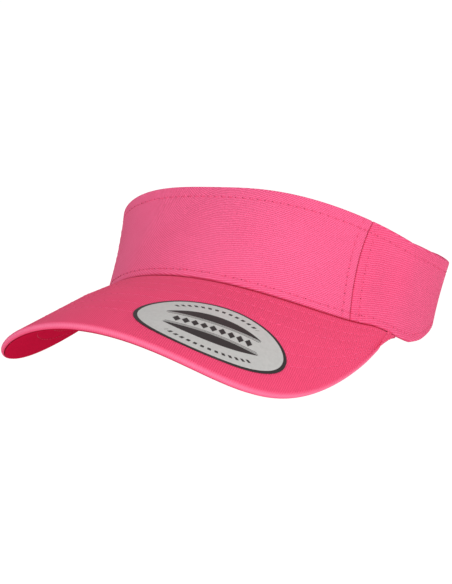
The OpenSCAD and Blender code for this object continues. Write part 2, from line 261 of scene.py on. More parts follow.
def wave4(a, v0, v45, v90, v135):
    """A cosine curve through its values at 0, 45, 90 and 135 degrees."""
    m, d, a = (v45 + v135) / 2, (v45 - v135) / math.sqrt(2), np.radians(a)
    c2 = m - v90
    e = v0 - m - c2
    return m + (e + d) / 2 * np.cos(a) + c2 * np.cos(2 * a) + (e - d) / 2 * np.cos(3 * a)


def wave3(a, v0, v45, v90):
    """A cosine curve through its values at 0, 45 and 90 degrees."""
    root, a = math.sqrt(0.5), np.radians(a)
    m = (root * (v0 + v90) - v45) / (2 * root - 1)
    c2 = m - v90
    return m + (v0 - m - c2) * np.cos(a) + c2 * np.cos(2 * a)


def low_z(a):
    """The height of the band's bottom edge."""
    x, y = oval(a)
    v = flat_v(x, y)
    on_brim = bent(flat_u(x, v), v)[..., 2]
    return on_brim * (1 - ease(BRIM_END - BLEND_HALF, BRIM_END + BLEND_HALF, np.abs(a)))


def wall(a, t):
    """The band's outer face at angle a and share t of its height."""
    a, t = np.broadcast_arrays(np.asarray(a, float), np.asarray(t, float))
    x, y = oval(a)
    rear = rear_share(a)
    high = mix(wave4(a, TOP_FRONT, TOP_QUARTER, TOP_SIDE, TOP_BACK), REAR_H, rear)
    lean = mix(wave3(a, LEAN_FRONT, LEAN_QUARTER, -FLARE_SIDE), -FLARE_REAR, rear)
    round_a = np.radians(a)
    swell = BULGE * (0.7 * np.cos(round_a) + 0.3 * np.cos(2 * round_a)) * (1 - rear)
    inward = lean * t - swell * 4 * t * (1 - t)
    return np.stack([x - np.sin(round_a) * inward, y + np.cos(round_a) * inward,
                     mix(low_z(a), high, t)], -1)


def wall_out(a, t):
    return unit(np.cross(wall(a + 1, t) - wall(a - 1, t), wall(a, t + 0.05) - wall(a, t - 0.05)))


def wall_len(a):
    return np.linalg.norm(wall(a, 1.0) - wall(a, 0.0), axis=-1)


def lining_at(a):
    """How deep the lining lies behind the band's outer face."""
    return mix(LINING_DEPTH, POCKET_FLOOR, ease(SEAM_HIGH, REAR_FROM, np.abs(a)))


def seam(t):
    """The angle of the front seam at a share of the height."""
    return mix(SEAM_LOW, SEAM_HIGH, t) - 4 * SEAM_BOW * t * (1 - t)


STRAP_T, STRAP_GAP, HOOK_T, LOOP_T = 0.0011, 0.0004, 0.0006, 0.0007
POCKET_DEPTH = TWILL_T + STRAP_GAP
POCKET_FLOOR = POCKET_DEPTH + STRAP_T + STRAP_GAP + HOOK_T / 2
TABLE_ANGLES = np.linspace(-180, 240, 1681)
table_steps = np.linalg.norm(np.diff(wall(TABLE_ANGLES, 0.5), axis=0), axis=-1)
TABLE_RUN = np.concatenate([[0], np.cumsum(table_steps)])
TABLE_RUN -= np.interp(0, TABLE_ANGLES, TABLE_RUN)


def run_of(a):
    """How far round the band an angle lies, along the middle of its height."""
    return np.interp(a, TABLE_ANGLES, TABLE_RUN)


def angle_of(run):
    return np.interp(run, TABLE_RUN, TABLE_ANGLES)


print("height of the wall at the front, side and rear, in mm:",
      [round(float(wall_len(np.array(x))) * 1000, 1) for x in (0.0, 90.0, 180.0)])

# %% [markdown]
# Between the band and its own outline the brim is one smooth surface. It starts level with the
# band and gains its thickness over the first stretch, as the board under the cloth begins.

# %% The brim between the band and its edge
def band_v(x):
    """How far forward the band meets the brim."""
    return flat_v(*oval(np.degrees(np.arcsin(np.clip(np.abs(x) / FRONT_R, 0, 1)))))


def lift(u, v):
    """How far the brim's top stands above the bent board's middle."""
    return BRIM_T / 2 * np.clip((v - band_v(bent(u, v)[..., 0])) / LIFT_RUN, 0, 1)


def brim_flat(s, r):
    """Flat coordinates at share s across the brim (-1 to 1) and share r along it."""
    s, r = np.broadcast_arrays(np.asarray(s, float), np.asarray(r, float))
    x0, y0 = oval(s * BRIM_END)
    v0 = flat_v(x0, y0)
    u0 = flat_u(x0, v0)
    ex, ey = oval(np.array(BRIM_END))
    rim_v = flat_v(ex, ey)
    rim_u = flat_u(ex, rim_v)
    turn = np.radians(90 * s)
    c = np.maximum(np.cos(turn), 0)
    u1 = rim_u * np.sin(turn) * (1 + EDGE_BOW * c ** 2 + EDGE_ROUND * c ** 4)
    v1 = rim_v + (BRIM_LEN - rim_v) * c ** EDGE_POWER
    off = np.stack([x0, y0, low_z(s * BRIM_END)], -1) - bent(u0, v0)
    return mix(u0, u1, r), mix(v0, v1, r), off * (1 - r)[..., None]


def brim(s, r, depth):
    """Point of the brim, that depth below its top."""
    u, v, off = brim_flat(s, r)
    return bent(u, v) + off + bent_up(u, v) * (lift(u, v) - depth)[..., None]


EDGE_SHARE = 1 + BRIM_T / 2 / BRIM_LEN
END_SHARE = 0.988
tip_y = brim(0.0, EDGE_SHARE, np.array(0.0))[1]
back_y = (wall(180.0, 1.0) - wall_out(np.array(180.0), np.array(1.0)) * POCKET_DEPTH)[1]
brim_foot = brim(np.linspace(-1, 0, 61) * END_SHARE, EDGE_SHARE, np.array(BRIM_T))[:, 2].min()
PLACE = np.array([0, -(tip_y + back_y) / 2, -brim_foot])
cad_tip_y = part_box("brim_top_cover")[0][1]
print("the brim's tip misses the frame's by", round(abs(tip_y + PLACE[1] - cad_tip_y) * 1e6), "um")


def band(a, v, depth):
    """Point of the band in the frame, v up its wall and that depth below its outer face."""
    a, v = np.broadcast_arrays(np.asarray(a, float), np.asarray(v, float))
    t = v / wall_len(a)
    return wall(a, t) - wall_out(a, t) * np.asarray(depth)[..., None] + PLACE


# %% [markdown]
# Cloth has a thickness and no sharp edge. Solidify could thicken a surface, but it leaves
# square rims and can't taper, so this function builds the closed sheet itself. It takes a grid
# of points through the middle of the cloth, steps out to both sides along the normals, and
# rounds the rim over half a thickness. The flat coordinates go into a UV map named cloth.

# %% A closed sheet with rounded edges
def edge_distance(grid, axis):
    """How far each point lies from the nearer end of its row or column."""
    step = np.linalg.norm(np.diff(grid, axis=axis), axis=-1)
    run = np.concatenate([np.zeros_like(np.take(step, [0], axis)), np.cumsum(step, axis)], axis)
    return np.minimum(run, np.take(run, [-1], axis) - run)


def sheet_mesh(name, grid, thick, flat, up=None, painted_light_mark=None):
    """A closed mesh round a grid of middle points, with a UV map of flat coordinates. The last
    argument is 1 where the cloth turns into a seam and gets painted shade, and below 0 where a
    painted highlight pales it."""
    rows, cols = grid.shape[:2]
    normal = up
    if up is None:
        normal = unit(np.cross(np.gradient(grid, axis=1), np.gradient(grid, axis=0)))
    share = np.minimum(edge_distance(grid, 0), edge_distance(grid, 1)) / (thick / 2)
    puff = (thick / 2 * np.sqrt(1 - (1 - np.clip(share, 0, 1)) ** 2))[..., None]
    over = (grid + normal * puff).reshape(-1, 3)
    under = (grid - normal * puff)[1:-1, 1:-1].reshape(-1, 3)
    index = np.arange(rows * cols).reshape(rows, cols)
    below = index.copy()
    below[1:-1, 1:-1] = rows * cols + np.arange(len(under)).reshape(rows - 2, cols - 2)

    def quads(of, order):
        corners = [of[:-1, :-1], of[1:, :-1], of[1:, 1:], of[:-1, 1:]]
        return np.stack([corners[i] for i in order], -1).reshape(-1, 4)

    faces = np.concatenate([quads(index, (0, 1, 2, 3)), quads(below, (3, 2, 1, 0))])
    points = np.concatenate([over, under])
    a, b, c, d = (points[faces[:, i]] for i in range(4))
    if (np.cross(b - a, c - a) * a + np.cross(c - a, d - a) * a).sum() < 0:
        faces = faces[:, ::-1]
    mesh = bpy.data.meshes.new(name)
    mesh.from_pydata(points.tolist(), [], faces.tolist())
    flat_points = np.concatenate([flat.reshape(-1, 2), flat[1:-1, 1:-1].reshape(-1, 2)])
    uv = mesh.uv_layers.new(name="cloth")
    uv.data.foreach_set("uv", flat_points[faces.ravel()].astype(np.float32).ravel())
    if painted_light_mark is not None:
        painted_light_marks = np.concatenate([painted_light_mark.ravel(), painted_light_mark[1:-1, 1:-1].ravel()]).astype(np.float32)
        mesh.attributes.new("painted_light_mark", "FLOAT", "POINT").data.foreach_set("value", painted_light_marks)
    mesh.shade_smooth()
    return place_in_scene(name, mesh)


def spaced(length, step, half):
    """Distances from 0 to length, close together at both ends so that a rim can round."""
    rim = np.array([0, 0.12, 0.5, 1]) * half
    inner = np.linspace(half, length - half, max(2, round(length / step)))[1:-1]
    return np.concatenate([rim, inner, length - rim[::-1]])


def finish_piece(piece, material, slot, *nodes, body="visor"):
    """Gives a piece its material, hides the CAD nodes that it stands for, and lets it ride."""
    piece.data.materials.clear()
    piece.data.materials.append(material)
    if body:
        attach(piece, body)
    if nodes:
        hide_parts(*nodes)
    return piece


print("a 4 mm strip's points lie at, in mm:", (spaced(0.004, 0.001, TWILL_T / 2) * 1000).round(2))


# %% [markdown]
# A material is a tree of nodes, and written out in full it would be long. These helpers keep it
# short: one adds any node with its inputs, one does a sum, one blends two colours, and others
# give noise in the piece's own frame, the cloth's flat coordinates, a ripple and a bump.

# %% Nodes for the materials
def new_material(name):
    material = bpy.data.materials.new(name)
    material.use_nodes = True
    return material, material.node_tree, material.node_tree.nodes["Principled BSDF"]


def grow(tree, kind, inputs=(), **settings):
    """Adds a node, with its settings and with what its inputs are linked or set to."""
    node = tree.nodes.new(kind)
    for key, value in settings.items():
        setattr(node, key, value)
    for key, value in dict(inputs).items():
        if isinstance(value, bpy.types.NodeSocket):
            tree.links.new(value, node.inputs[key])
        else:
            node.inputs[key].default_value = value
    return node


def calc(tree, operation, *values):
    return grow(tree, "ShaderNodeMath", enumerate(values), operation=operation).outputs[0]


def blend_colours(tree, share, a, b):
    """Colour a where the share is 0 and b where it is 1; sockets 6, 7 and 2 are the colours."""
    a, b = (x if isinstance(x, bpy.types.NodeSocket) else (*x, 1) for x in (a, b))
    return grow(tree, "ShaderNodeMix", {0: share, 6: a, 7: b}, data_type="RGBA").outputs[2]


def dye(tree, shader, share, a, b):
    """Colours a shader with a blend of a and b."""
    tree.links.new(blend_colours(tree, share, a, b), shader.inputs["Base Color"])


def set_finish(shader, **values):
    """Sets a shader's uniform inputs by name, with _ for a space."""
    for name, value in values.items():
        shader.inputs[name.replace("_", " ")].default_value = value


def noise(tree, scale, detail=2.0):
    """Soft noise through space, in the piece's own frame."""
    place = grow(tree, "ShaderNodeTexCoord").outputs["Object"]
    settings = {"Vector": place, "Scale": scale, "Detail": detail}
    return grow(tree, "ShaderNodeTexNoise", settings).outputs["Fac"]


def flat_place(tree, angle=0.0):
    """The flat coordinates of the cloth, turned by an angle: (along, across)."""
    uv = grow(tree, "ShaderNodeUVMap", uv_map="cloth")
    turned = grow(tree, "ShaderNodeMapping", {"Vector": uv.outputs["UV"],
                                              "Rotation": (0, 0, math.radians(-angle))})
    split = grow(tree, "ShaderNodeSeparateXYZ", {0: turned.outputs["Vector"]})
    return split.outputs[0], split.outputs[1]


def ripple(tree, value, pitch, phase=0.0):
    """A sine between 0 and 1 with that pitch."""
    angle = calc(tree, "MULTIPLY_ADD", value, math.tau / pitch, phase)
    return calc(tree, "MULTIPLY_ADD", calc(tree, "SINE", angle), 0.5, 0.5)


def raise_surface(tree, shader, height, distance, strength=1.0):
    bump = grow(tree, "ShaderNodeBump", {"Height": height, "Distance": distance,
                                         "Strength": strength})
    tree.links.new(bump.outputs["Normal"], shader.inputs["Normal"])


print("helpers are ready for Blender", bpy.app.version_string)

# %% [markdown]
# Twill shows fine slanted ribs, because each weft yarn steps one warp yarn aside in every row.
# An image texture would need unwrapping and would blur close by, so the ribs are worked out from the
# cloth's own flat coordinates: one sine across the ribs, a finer one along them for the yarns, and
# noise so that no two ribs are quite alike. The same height lifts the surface through a bump, and it
# makes the colour lighter on the crowns and darker in the grooves between them, as painted shade.

# %% Twill
RIB, YARN, BRIM_RIB = 0.00094, 0.00050, 0.00082
PAINTED_HIGHLIGHT_PINK = (0.98, 0.30, 0.48)


def twill(name, crown, groove, angle, rib=RIB, relief=0.00016, sheen=0.12, gloss=0.16):
    """Ribbed cotton: crown and groove are its colours, the darker groove one being painted shade
    between the ribs, and angle is the slope of its ribs. An attribute darkens it with painted shade
    at a seam and pales it with a painted highlight on the brim's edge."""
    material, tree, shader = new_material(name)
    along, across = flat_place(tree, angle)
    across = calc(tree, "MULTIPLY_ADD", noise(tree, 140, 3), 0.0011, across)
    crest = ripple(tree, across, rib)
    yarn = ripple(tree, calc(tree, "MULTIPLY_ADD", across, 0.9, along), YARN)
    fibre = noise(tree, 5200, 2)
    height = calc(tree, "MULTIPLY_ADD", yarn, 0.22, crest)
    height = calc(tree, "MULTIPLY_ADD", fibre, 0.3, height)
    cloud = noise(tree, 38, 4)
    # Painted shade: the crests of the ribs get the light colour and the grooves between them the
    # dark one.
    shade = calc(tree, "MULTIPLY_ADD", cloud, 0.35, calc(tree, "MULTIPLY", crest, 0.78))
    shade = calc(tree, "MULTIPLY_ADD", fibre, 0.22, shade)
    shade = calc(tree, "SUBTRACT", shade, 0.14)
    share = grow(tree, "ShaderNodeClamp", {"Value": shade}).outputs[0]
    dyed = blend_colours(tree, share, groove, crown)
    # The attribute of painted light: above 0 it darkens the cloth into painted shade, below 0 it
    # pales it into a painted highlight.
    painted_light_mark = grow(tree, "ShaderNodeAttribute", attribute_name="painted_light_mark").outputs["Fac"]
    shadow = (0.66 * groove[0], 0.3 * groove[1], 0.4 * groove[2])
    painted_highlight = calc(tree, "MAXIMUM", calc(tree, "MULTIPLY", painted_light_mark, -1.0), 0.0)
    dyed = blend_colours(tree, painted_highlight, dyed, PAINTED_HIGHLIGHT_PINK)
    dye(tree, shader, calc(tree, "MAXIMUM", painted_light_mark, 0.0), dyed, shadow)
    raise_surface(tree, shader, height, relief)
    set_finish(shader, Roughness=0.85, Specular_IOR_Level=gloss, Sheen_Weight=sheen,
               Sheen_Roughness=0.45, Sheen_Tint=(1.0, 0.5, 0.65, 1))
    return material


# The second colour is the one painted between the ribs, as painted shade.
CROWN = (0.90, 0.135, 0.285)
GROOVE_SHADE = (0.74, 0.052, 0.15)
# The front panel's pink is paler than the sides': painted sheen, where the front faces the lamps.
front_twill_painted_sheen = twill("front_twill_painted_sheen", (0.90, 0.155, 0.32), (0.75, 0.06, 0.165), 0)
side_twill = twill("side_twill", CROWN, GROOVE_SHADE, -15, sheen=0.06, gloss=0.08)
brim_twill = twill("brim_twill", (0.87, 0.088, 0.20), (0.75, 0.045, 0.13), 76, BRIM_RIB,
                   relief=0.00012, sheen=0.10, gloss=0.06)
# The under cover's twill is its own cloth, made deep and dark with painted shade, as it faces down
# under the brim.
under_twill = twill("under_brim_twill_painted_shade", (0.52, 0.008, 0.045), (0.44, 0.005, 0.032), 76, BRIM_RIB,
                    relief=0.00010, sheen=0.0, gloss=0.0)
print("ribs", RIB * 1000, "mm apart on the band and", BRIM_RIB * 1000, "mm on the brim")

# %% [markdown]
# Sewing and wear leave their mark on the band's outer cloth: a shallow groove under every row of
# stitches, small puckers beside it, a slight waviness, and one soft fold in each side panel, a
# little behind its seam. A sum of soft grooves and sines does this better than sculpting, since
# the rows of thread can later read the same depth and lie in their grooves.

# %% The relief of sewn cloth
TOP_STITCH_DROP, BASE_STITCH_RISE, SEAM_STITCH_OFF = 0.0055, 0.0035, 0.0042
STITCH_SINK, STITCH_WIDE, PUCKER, PUCKER_WIDE = 0.00020, 0.0010, 0.00005, 0.0028
FOLD_BEHIND, FOLD_LEAN, FOLD_DEEP, FOLD_WIDE = 0.0135, 0.22, 0.0011, 0.0065
SWELL_BEHIND, SWELL_LEAN, SWELL_RISE, SWELL_WIDE = 0.030, 0.10, 0.0006, 0.010


def groove(distance, deep, wide):
    """A soft groove: how deep it is at a distance from its middle."""
    return deep * np.exp(-(distance / wide) ** 2)


def panel_relief(run, v, length, seam_run):
    """How far sewing and wear push the cloth in, at a distance round the band and up it."""
    behind = np.abs(run) - seam_run
    lines = [v - BASE_STITCH_RISE, length - TOP_STITCH_DROP - v,
             behind - SEAM_STITCH_OFF, behind + SEAM_STITCH_OFF]
    deep = sum(groove(d, STITCH_SINK, STITCH_WIDE) for d in lines)
    pucker = np.sin(run * math.tau / 0.0043 + 0.7 * np.sin(run * 90))
    deep = deep + PUCKER * pucker * sum(groove(d, 1, PUCKER_WIDE) for d in lines[:2])
    pucker = np.sin(v * math.tau / 0.0047 + 0.6 * np.sin(v * 160))
    deep = deep + PUCKER * pucker * sum(groove(d, 1, PUCKER_WIDE) for d in lines[2:])
    middle = np.sin(np.clip(v / length, 0, 1) * math.pi)
    wander = np.sin(run * 118 + v * 40) + 0.6 * np.sin(run * 231 - v * 95 + 1.3)
    deep = deep + 0.00010 * wander * middle
    fold = groove(behind - FOLD_BEHIND - FOLD_LEAN * v, FOLD_DEEP, FOLD_WIDE)
    swell = groove(behind - SWELL_BEHIND - SWELL_LEAN * v, -SWELL_RISE, SWELL_WIDE)
    return deep + (fold + swell) * middle ** 1.4


mid_v, mid_seam = 0.018, run_of(seam(0.5))
fold_deep = panel_relief(mid_seam + FOLD_BEHIND + FOLD_LEAN * mid_v, mid_v, 2 * mid_v, mid_seam)
print("the side panel's fold is", round(float(fold_deep) * 1000, 2), "mm deep at mid height")

# %% [markdown]
# Each edge of a panel is turned in. The bottom and the seams roll in over a small radius, and
# the top is folded over to the lining. Rows of points follow that path up the wall, and columns
# follow it along the band, closer together where the cloth turns.

# %% A panel with its edges turned in
ROLL, HEM_RISE, CLOTH_STEP, PANEL_TALL = 0.0006, 0.0003, 0.0008, 0.046
RIM_REACH = (1.4, 1.3, 0.9)  # in half thicknesses of cloth
HEM_DOWN = (0.0004, 0.0008, 0.0011, 0.0013, 0.00145, 0.0015)


def rolled(length, step, half):
    """Columns along a cloth whose two ends roll in: their distances, and how deep each is."""
    turn = np.radians([0, 22, 45, 68])
    ends = ROLL * (1 - np.cos(turn))
    deep = ROLL * (1 - np.sin(turn))
    tuck = ROLL + np.array(RIM_REACH) * half
    inner = np.linspace(ROLL, length - ROLL, round(length / step))
    at = np.concatenate([[0, 0, 0], ends, inner, length - ends[::-1], [length] * 3])
    down = np.concatenate([tuck, deep, np.zeros(len(inner)), deep[::-1], tuck[::-1]])
    return at, down


def panel_grid(run_from, run_to, bow, centre, step=CLOTH_STEP):
    """The middle of a panel's cloth between two seams, given as functions of the height.
    bow lets the weave curve about a centre, as cloth pulled over a mould does."""
    half = TWILL_T / 2
    wide = float(run_to(0.5) - run_from(0.5))
    at, tuck = rolled(wide, step, half)
    rows = round(PANEL_TALL / step)
    turn_in = np.radians([0, 30, 60])
    turn_over = np.radians([20, 45, 70, 90, 110, 135, 160, 180])
    grid, flat, painted_light_marks = [], [], []

    def add(t, height, depth, path, painted_light_mark=0.0):
        """Adds a row. height and depth tell where it lies and path how far along the cloth, all
        from the wall's length and the fold's radius. Without a path, it lies on the face."""
        # Painted shade: the colour darkens where the cloth rolls in, at the seams and along the
        # bottom edge.
        painted_light_marks.append(np.maximum(np.clip(tuck / ROLL, 0, 1) ** 3, painted_light_mark))
        run = mix(run_from(t), run_to(t), at / wide)
        a = angle_of(run)
        length = wall_len(a)
        fold = (lining_at(a) - TWILL_T - PLY_GAP / 2) / 2
        v = height(length, fold)
        sewn = panel_relief(run, v, length, run_of(seam(t))) if path is None else 0
        grid.append(band(a, v, half + depth(fold) + tuck + sewn))
        up = low_z(a) + (v if path is None else path(length, fold))
        flat.append(np.stack([run, up - bow / 2 * (run - centre) ** 2], -1))

    for extra in RIM_REACH:
        add(0, lambda n, f: half + 0 * n, lambda f: ROLL + extra * half,
            lambda n, f: half - extra * half + 0 * n, 1.0)
    for x in turn_in:
        add(0, lambda n, f: half + ROLL * (1 - math.cos(x)) + 0 * n,
            lambda f: ROLL * (1 - math.sin(x)), lambda n, f: half + ROLL * (x - 0.57) + 0 * n,
            1 - math.sin(x))
    for t in np.linspace(0, 1, rows):
        add(t, lambda n, f: mix(half + ROLL, n - f - half + HEM_RISE, t), lambda f: 0, None)
    for x in turn_over:
        add(1, lambda n, f: n - f - half + HEM_RISE + f * math.sin(x),
            lambda f: f * (1 - math.cos(x)),
            lambda n, f: n - f - half + f * x)
    for down in HEM_DOWN:
        add(1, lambda n, f: n - f - half + HEM_RISE - down, lambda f: 2 * f,
            lambda n, f: n - half + down + f * 2.1)
    return np.array(grid), np.array(flat), np.array(painted_light_marks)


columns, _ = rolled(0.1, CLOTH_STEP, TWILL_T / 2)
print("a panel 100 mm wide has", len(columns), "columns of points")

# %% [markdown]
# The band has three outer panels: the forehead and two sides that reach round to the back. Each
# end is a function of the height, because the seams slope and bow. The weave curves a little
# across each panel too, as cloth does when it is pulled over a mould.

# %% The three outer panels
def seam_run(t):
    return run_of(seam(t))


def beside_seam(side, clear):
    """A cloth's end that follows the seam on one side: -1 right, 1 left."""
    return lambda t: side * seam_run(t) + clear


def fixed(value):
    """An end or an edge that stays at one value."""
    return lambda x: value + 0 * x


SEAM_CLEAR = TWILL_T / 2 + 0.00004
end_run = run_of(PANEL_END)
panels = {
    "front_panel": (beside_seam(-1, SEAM_CLEAR), beside_seam(1, -SEAM_CLEAR), 10.0, 0.025),
    "left_side_panel": (beside_seam(1, SEAM_CLEAR), fixed(end_run - SEAM_CLEAR), -5.0, 0.100),
    "right_side_panel": (fixed(SEAM_CLEAR - end_run), beside_seam(-1, -SEAM_CLEAR), -5.0, -0.100),
}
for node, (run_from, run_to, bow, centre) in panels.items():
    grid, flat, painted_light_marks = panel_grid(run_from, run_to, bow, centre)
    cloth = sheet_mesh(node + "_cloth", grid, TWILL_T, flat, painted_light_mark=painted_light_marks)
    finish_piece(cloth, front_twill_painted_sheen if node == "front_panel" else side_twill, "twill", node)

# %% [markdown]
# The brim has two covers. The upper one is pulled over the rounded edge and meets the lower one
# in a fine seam, just under the widest point. Both follow the bent board, so their middle is
# the brim's surface, and the edge is a half circle swept round the outline. Rows of stitching
# hold the covers to the board, and each row sinks a little, which gives the brim its faint
# ridges.

# %% The brim's two covers
BRIM_ROWS, ROW_PITCH, ROW_FIRST, ROW_SINK = 6, 0.0085, 0.006, 0.00012
ROW_END, STATION_END, EDGE_SEAM = 62, 84, 128
ROW_END_SHARE = math.sin(math.radians(ROW_END))
TUCK_SHARE = -0.035
BOARD_END, BOARD_INSET = 0.955, 0.0025


def thick_at(s):
    """The brim's thickness, which thins out at both ends, where it is sewn into the band."""
    return BRIM_T * (1 - 0.55 * ease(0.90, 0.995, np.abs(s)))


def tuck_in(s):
    """How far the ends of the brim pass in behind the band's cloth."""
    a = np.radians(s * BRIM_END)
    inward = np.stack([-np.sin(a), np.cos(a), 0 * a], -1)
    return inward * (0.0022 * ease(0.955, 0.999, np.abs(s)))[..., None]


def brim_edge(s, turn):
    """A half circle round the brim's edge: turn is 0 on top and 180 below."""
    reach = 0.002
    radius = (thick_at(s) / 2 - COVER_T / 2)[:, None]
    ahead = brim(np.minimum(s + reach, 1), 1.0, np.array(BRIM_T / 2))
    behind = brim(np.maximum(s - reach, -1), 1.0, np.array(BRIM_T / 2))
    u, v, _ = brim_flat(s, 1.0)
    up = bent_up(u, v)
    out = unit(np.cross(ahead - behind, up))
    x = math.radians(turn)
    centre = brim(s, 1.0, thick_at(s) / 2)
    out = out * (1 - ease(0.95, 0.999, np.abs(s)))[:, None]
    return centre + out * radius * math.sin(x) + up * radius * math.cos(x) + tuck_in(s)


def row_relief(s, r):
    """How deep the brim's rows of stitching sink the cloth."""
    v = r * BRIM_LEN
    rows = ROW_FIRST + ROW_PITCH * np.arange(BRIM_ROWS)
    fade = 1 - ease(ROW_END_SHARE - 0.03, ROW_END_SHARE, np.abs(s))
    pucker = 1 + 0.35 * np.sin(s * 150 + v * 300)
    return sum(groove(v - row, ROW_SINK, 0.0012) for row in rows) * fade * pucker


def brim_grid(shares, turns, top):
    """The middle of a cover: along the brim to its edge, then round the edge."""
    station = np.radians(np.linspace(-STATION_END, STATION_END, 240))
    s = np.sin(station) / math.sin(math.radians(STATION_END)) * 0.9995
    inside = COVER_T / 2
    radius = BRIM_T / 2 - inside
    grid, flat, painted_light_marks = [], [], []
    for share in shares:
        r = np.where(share < 0, share * np.clip(4 - 4 * np.abs(s), 0, 1), share)
        depth = inside if top else thick_at(s) - inside
        sink = row_relief(s, r) * (1 if top else -1)
        sink = sink + (groove(np.maximum(share, 0) * BRIM_LEN, 0.00062, 0.0012) if top else 0)
        grid.append(brim(s, r, depth + sink) + tuck_in(s) + PLACE)
        u, v, _ = brim_flat(s, r)
        flat.append(np.stack([u, v], -1))
        # Painted shade: the cover darkens along its junction with the band.
        painted_light_marks.append(groove(max(share, 0) * BRIM_LEN + 0 * s, 1, 0.0011))
    u, v, _ = brim_flat(s, 1.0)
    reach = unit(np.stack([np.gradient(v), -np.gradient(u)], -1))
    for turn in turns:
        grid.append(brim_edge(s, turn) + PLACE)
        run = radius * math.radians(turn if top else 180 - turn)
        flat.append(np.stack([u, v], -1) - reach * run)
        # Painted shade darkens the seam line under the edge, and a painted highlight pales the upper
        # round of the edge, where it faces the lamps.
        seam_shade = groove((turn - EDGE_SEAM) * radius * math.radians(1), 0.8, 0.0003)
        painted_highlight = 0.42 * math.exp(-((turn - 62) / 34) ** 2) if top else 0
        painted_light_marks.append(seam_shade - painted_highlight + 0 * s)
    return np.array(grid), np.array(flat), np.array(painted_light_marks)


shares = np.concatenate([[TUCK_SHARE - 0.004, TUCK_SHARE - 0.002], np.linspace(TUCK_SHARE, 1, 84)])
round_top = [15, 30, 45, 60, 75, 90, 102, 114, EDGE_SEAM - 6, EDGE_SEAM - 2, EDGE_SEAM]
round_under = [168, 156, 148, EDGE_SEAM + 14, EDGE_SEAM + 12]
for top, turns in ((True, round_top), (False, round_under)):
    face, cotton_twill, slot = (("top", brim_twill, "twill") if top else
                                ("under", under_twill, "under_twill"))
    grid, flat, painted_light_marks = brim_grid(shares, turns, top)
    cloth = sheet_mesh("brim_" + face + "_cloth", grid, COVER_T, flat, painted_light_mark=painted_light_marks)
    finish_piece(cloth, cotton_twill, slot, "brim_" + face + "_cover")

# %% [markdown]
# Between the covers lies the board that keeps the brim's curve. It stops short of the edge and
# of both ends, where the covers alone are sewn into the band.

# %% The brim's board
board_s = np.linspace(-BOARD_END, BOARD_END, 120)[:, None]
board_r = spaced(1 - BOARD_INSET / BRIM_LEN, 0.03, BOARD_T / 2 / BRIM_LEN)[None, :]
grid = brim(board_s, board_r, COVER_T + PLY_GAP + BOARD_T / 2) + PLACE
flat = np.stack(brim_flat(board_s, board_r)[:2], -1)
board, tree, shader = new_material("pressed_board")
dye(tree, shader, noise(tree, 500, 4), (0.70, 0.68, 0.63), (0.86, 0.85, 0.81))
raise_surface(tree, shader, noise(tree, 1500, 3), 0.0001)
finish_piece(sheet_mesh("brim_board_sheet", grid, BOARD_T - 0.0001, flat), board, "board",
             "brim_board")

# %% [markdown]
# Inside, plain-woven linings cover the raw edges, and a twill sweatband is sewn over a thin pad
# of foam at the forehead. All of them are strips that lie along the wall, so one function lays
# a strip: it takes the angles and heights of the cloth's grid, and how deep the cloth lies.

# %% The linings
def weave(name, colour, dark, pitch):
    """A plain weave: yarns over and under in both directions."""
    material, tree, shader = new_material(name)
    along, across = flat_place(tree)
    warp, weft = ripple(tree, along, pitch), ripple(tree, across, pitch, 1.1)
    cross = calc(tree, "MULTIPLY", warp, weft)
    fibre = noise(tree, 4200, 2)
    height = calc(tree, "MULTIPLY_ADD", fibre, 0.35, cross)
    shade = calc(tree, "MULTIPLY_ADD", noise(tree, 45, 3), 0.4, calc(tree, "MULTIPLY", cross, 0.9))
    shade = calc(tree, "MULTIPLY_ADD", fibre, 0.15, shade)
    share = grow(tree, "ShaderNodeClamp", {"Value": shade}).outputs[0]
    dye(tree, shader, share, dark, colour)
    raise_surface(tree, shader, height, 0.00009)
    set_finish(shader, Roughness=0.9, Specular_IOR_Level=0.2, Sheen_Weight=0.25)
    return material


def lay_strip(name, run_from, run_to, low, high, depth, thick, step=0.0012):
    """A strip along the wall. Its ends are functions of the share of height, low and high are
    functions of the angle, and depth gives the middle of the cloth at an angle and height."""
    half = thick / 2
    wide = float(run_to(0.5) - run_from(0.5))
    tall = float(high(np.array(0.0)) - low(np.array(0.0)))
    across = spaced(wide, step, half) / wide
    up = spaced(tall, step, half)[:, None] / tall
    run = mix(run_from(up), run_to(up), across)
    a = angle_of(run)
    v = mix(low(a), high(a), up)
    grid = band(a, v, depth(a, v))
    flat = np.stack([run, low_z(a) + v], -1)
    return sheet_mesh(name, grid, thick, flat), grid, flat


lining_cotton = weave("lining_cotton", (0.86, 0.16, 0.31), (0.66, 0.07, 0.17), 0.00055)
LINING_END_CLEAR = 0.0009


def lining_depth(a, v):
    """The middle of the lining, which hangs a little slack between its seams."""
    middle = np.sin(np.clip(v / wall_len(a), 0, 1) * math.pi)
    slack = 0.00012 * np.sin(run_of(a) * 210 + v * 60) * middle
    return lining_at(a) + LINING_T / 2 + 0.0001 + slack * 0.6


lining_ends = {
    "front_lining": (beside_seam(-1, SEAM_CLEAR), beside_seam(1, -SEAM_CLEAR)),
    "left_lining": (beside_seam(1, SEAM_CLEAR), fixed(end_run - LINING_END_CLEAR)),
    "right_lining": (fixed(LINING_END_CLEAR - end_run), beside_seam(-1, -SEAM_CLEAR)),
}
for node, (run_from, run_to) in lining_ends.items():
    cloth, grid, flat = lay_strip(node + "_cloth", run_from, run_to, lambda a: 0.02 * wall_len(a),
                                  lambda a: 0.97 * wall_len(a), lining_depth, LINING_T)
    finish_piece(cloth, lining_cotton, "lining", node)

# %% [markdown]
# The sweatband is sewn down along both edges and puffs over the foam between them, so its depth is a
# function that rises away from each row of stitches. The foam gives when it is pressed.

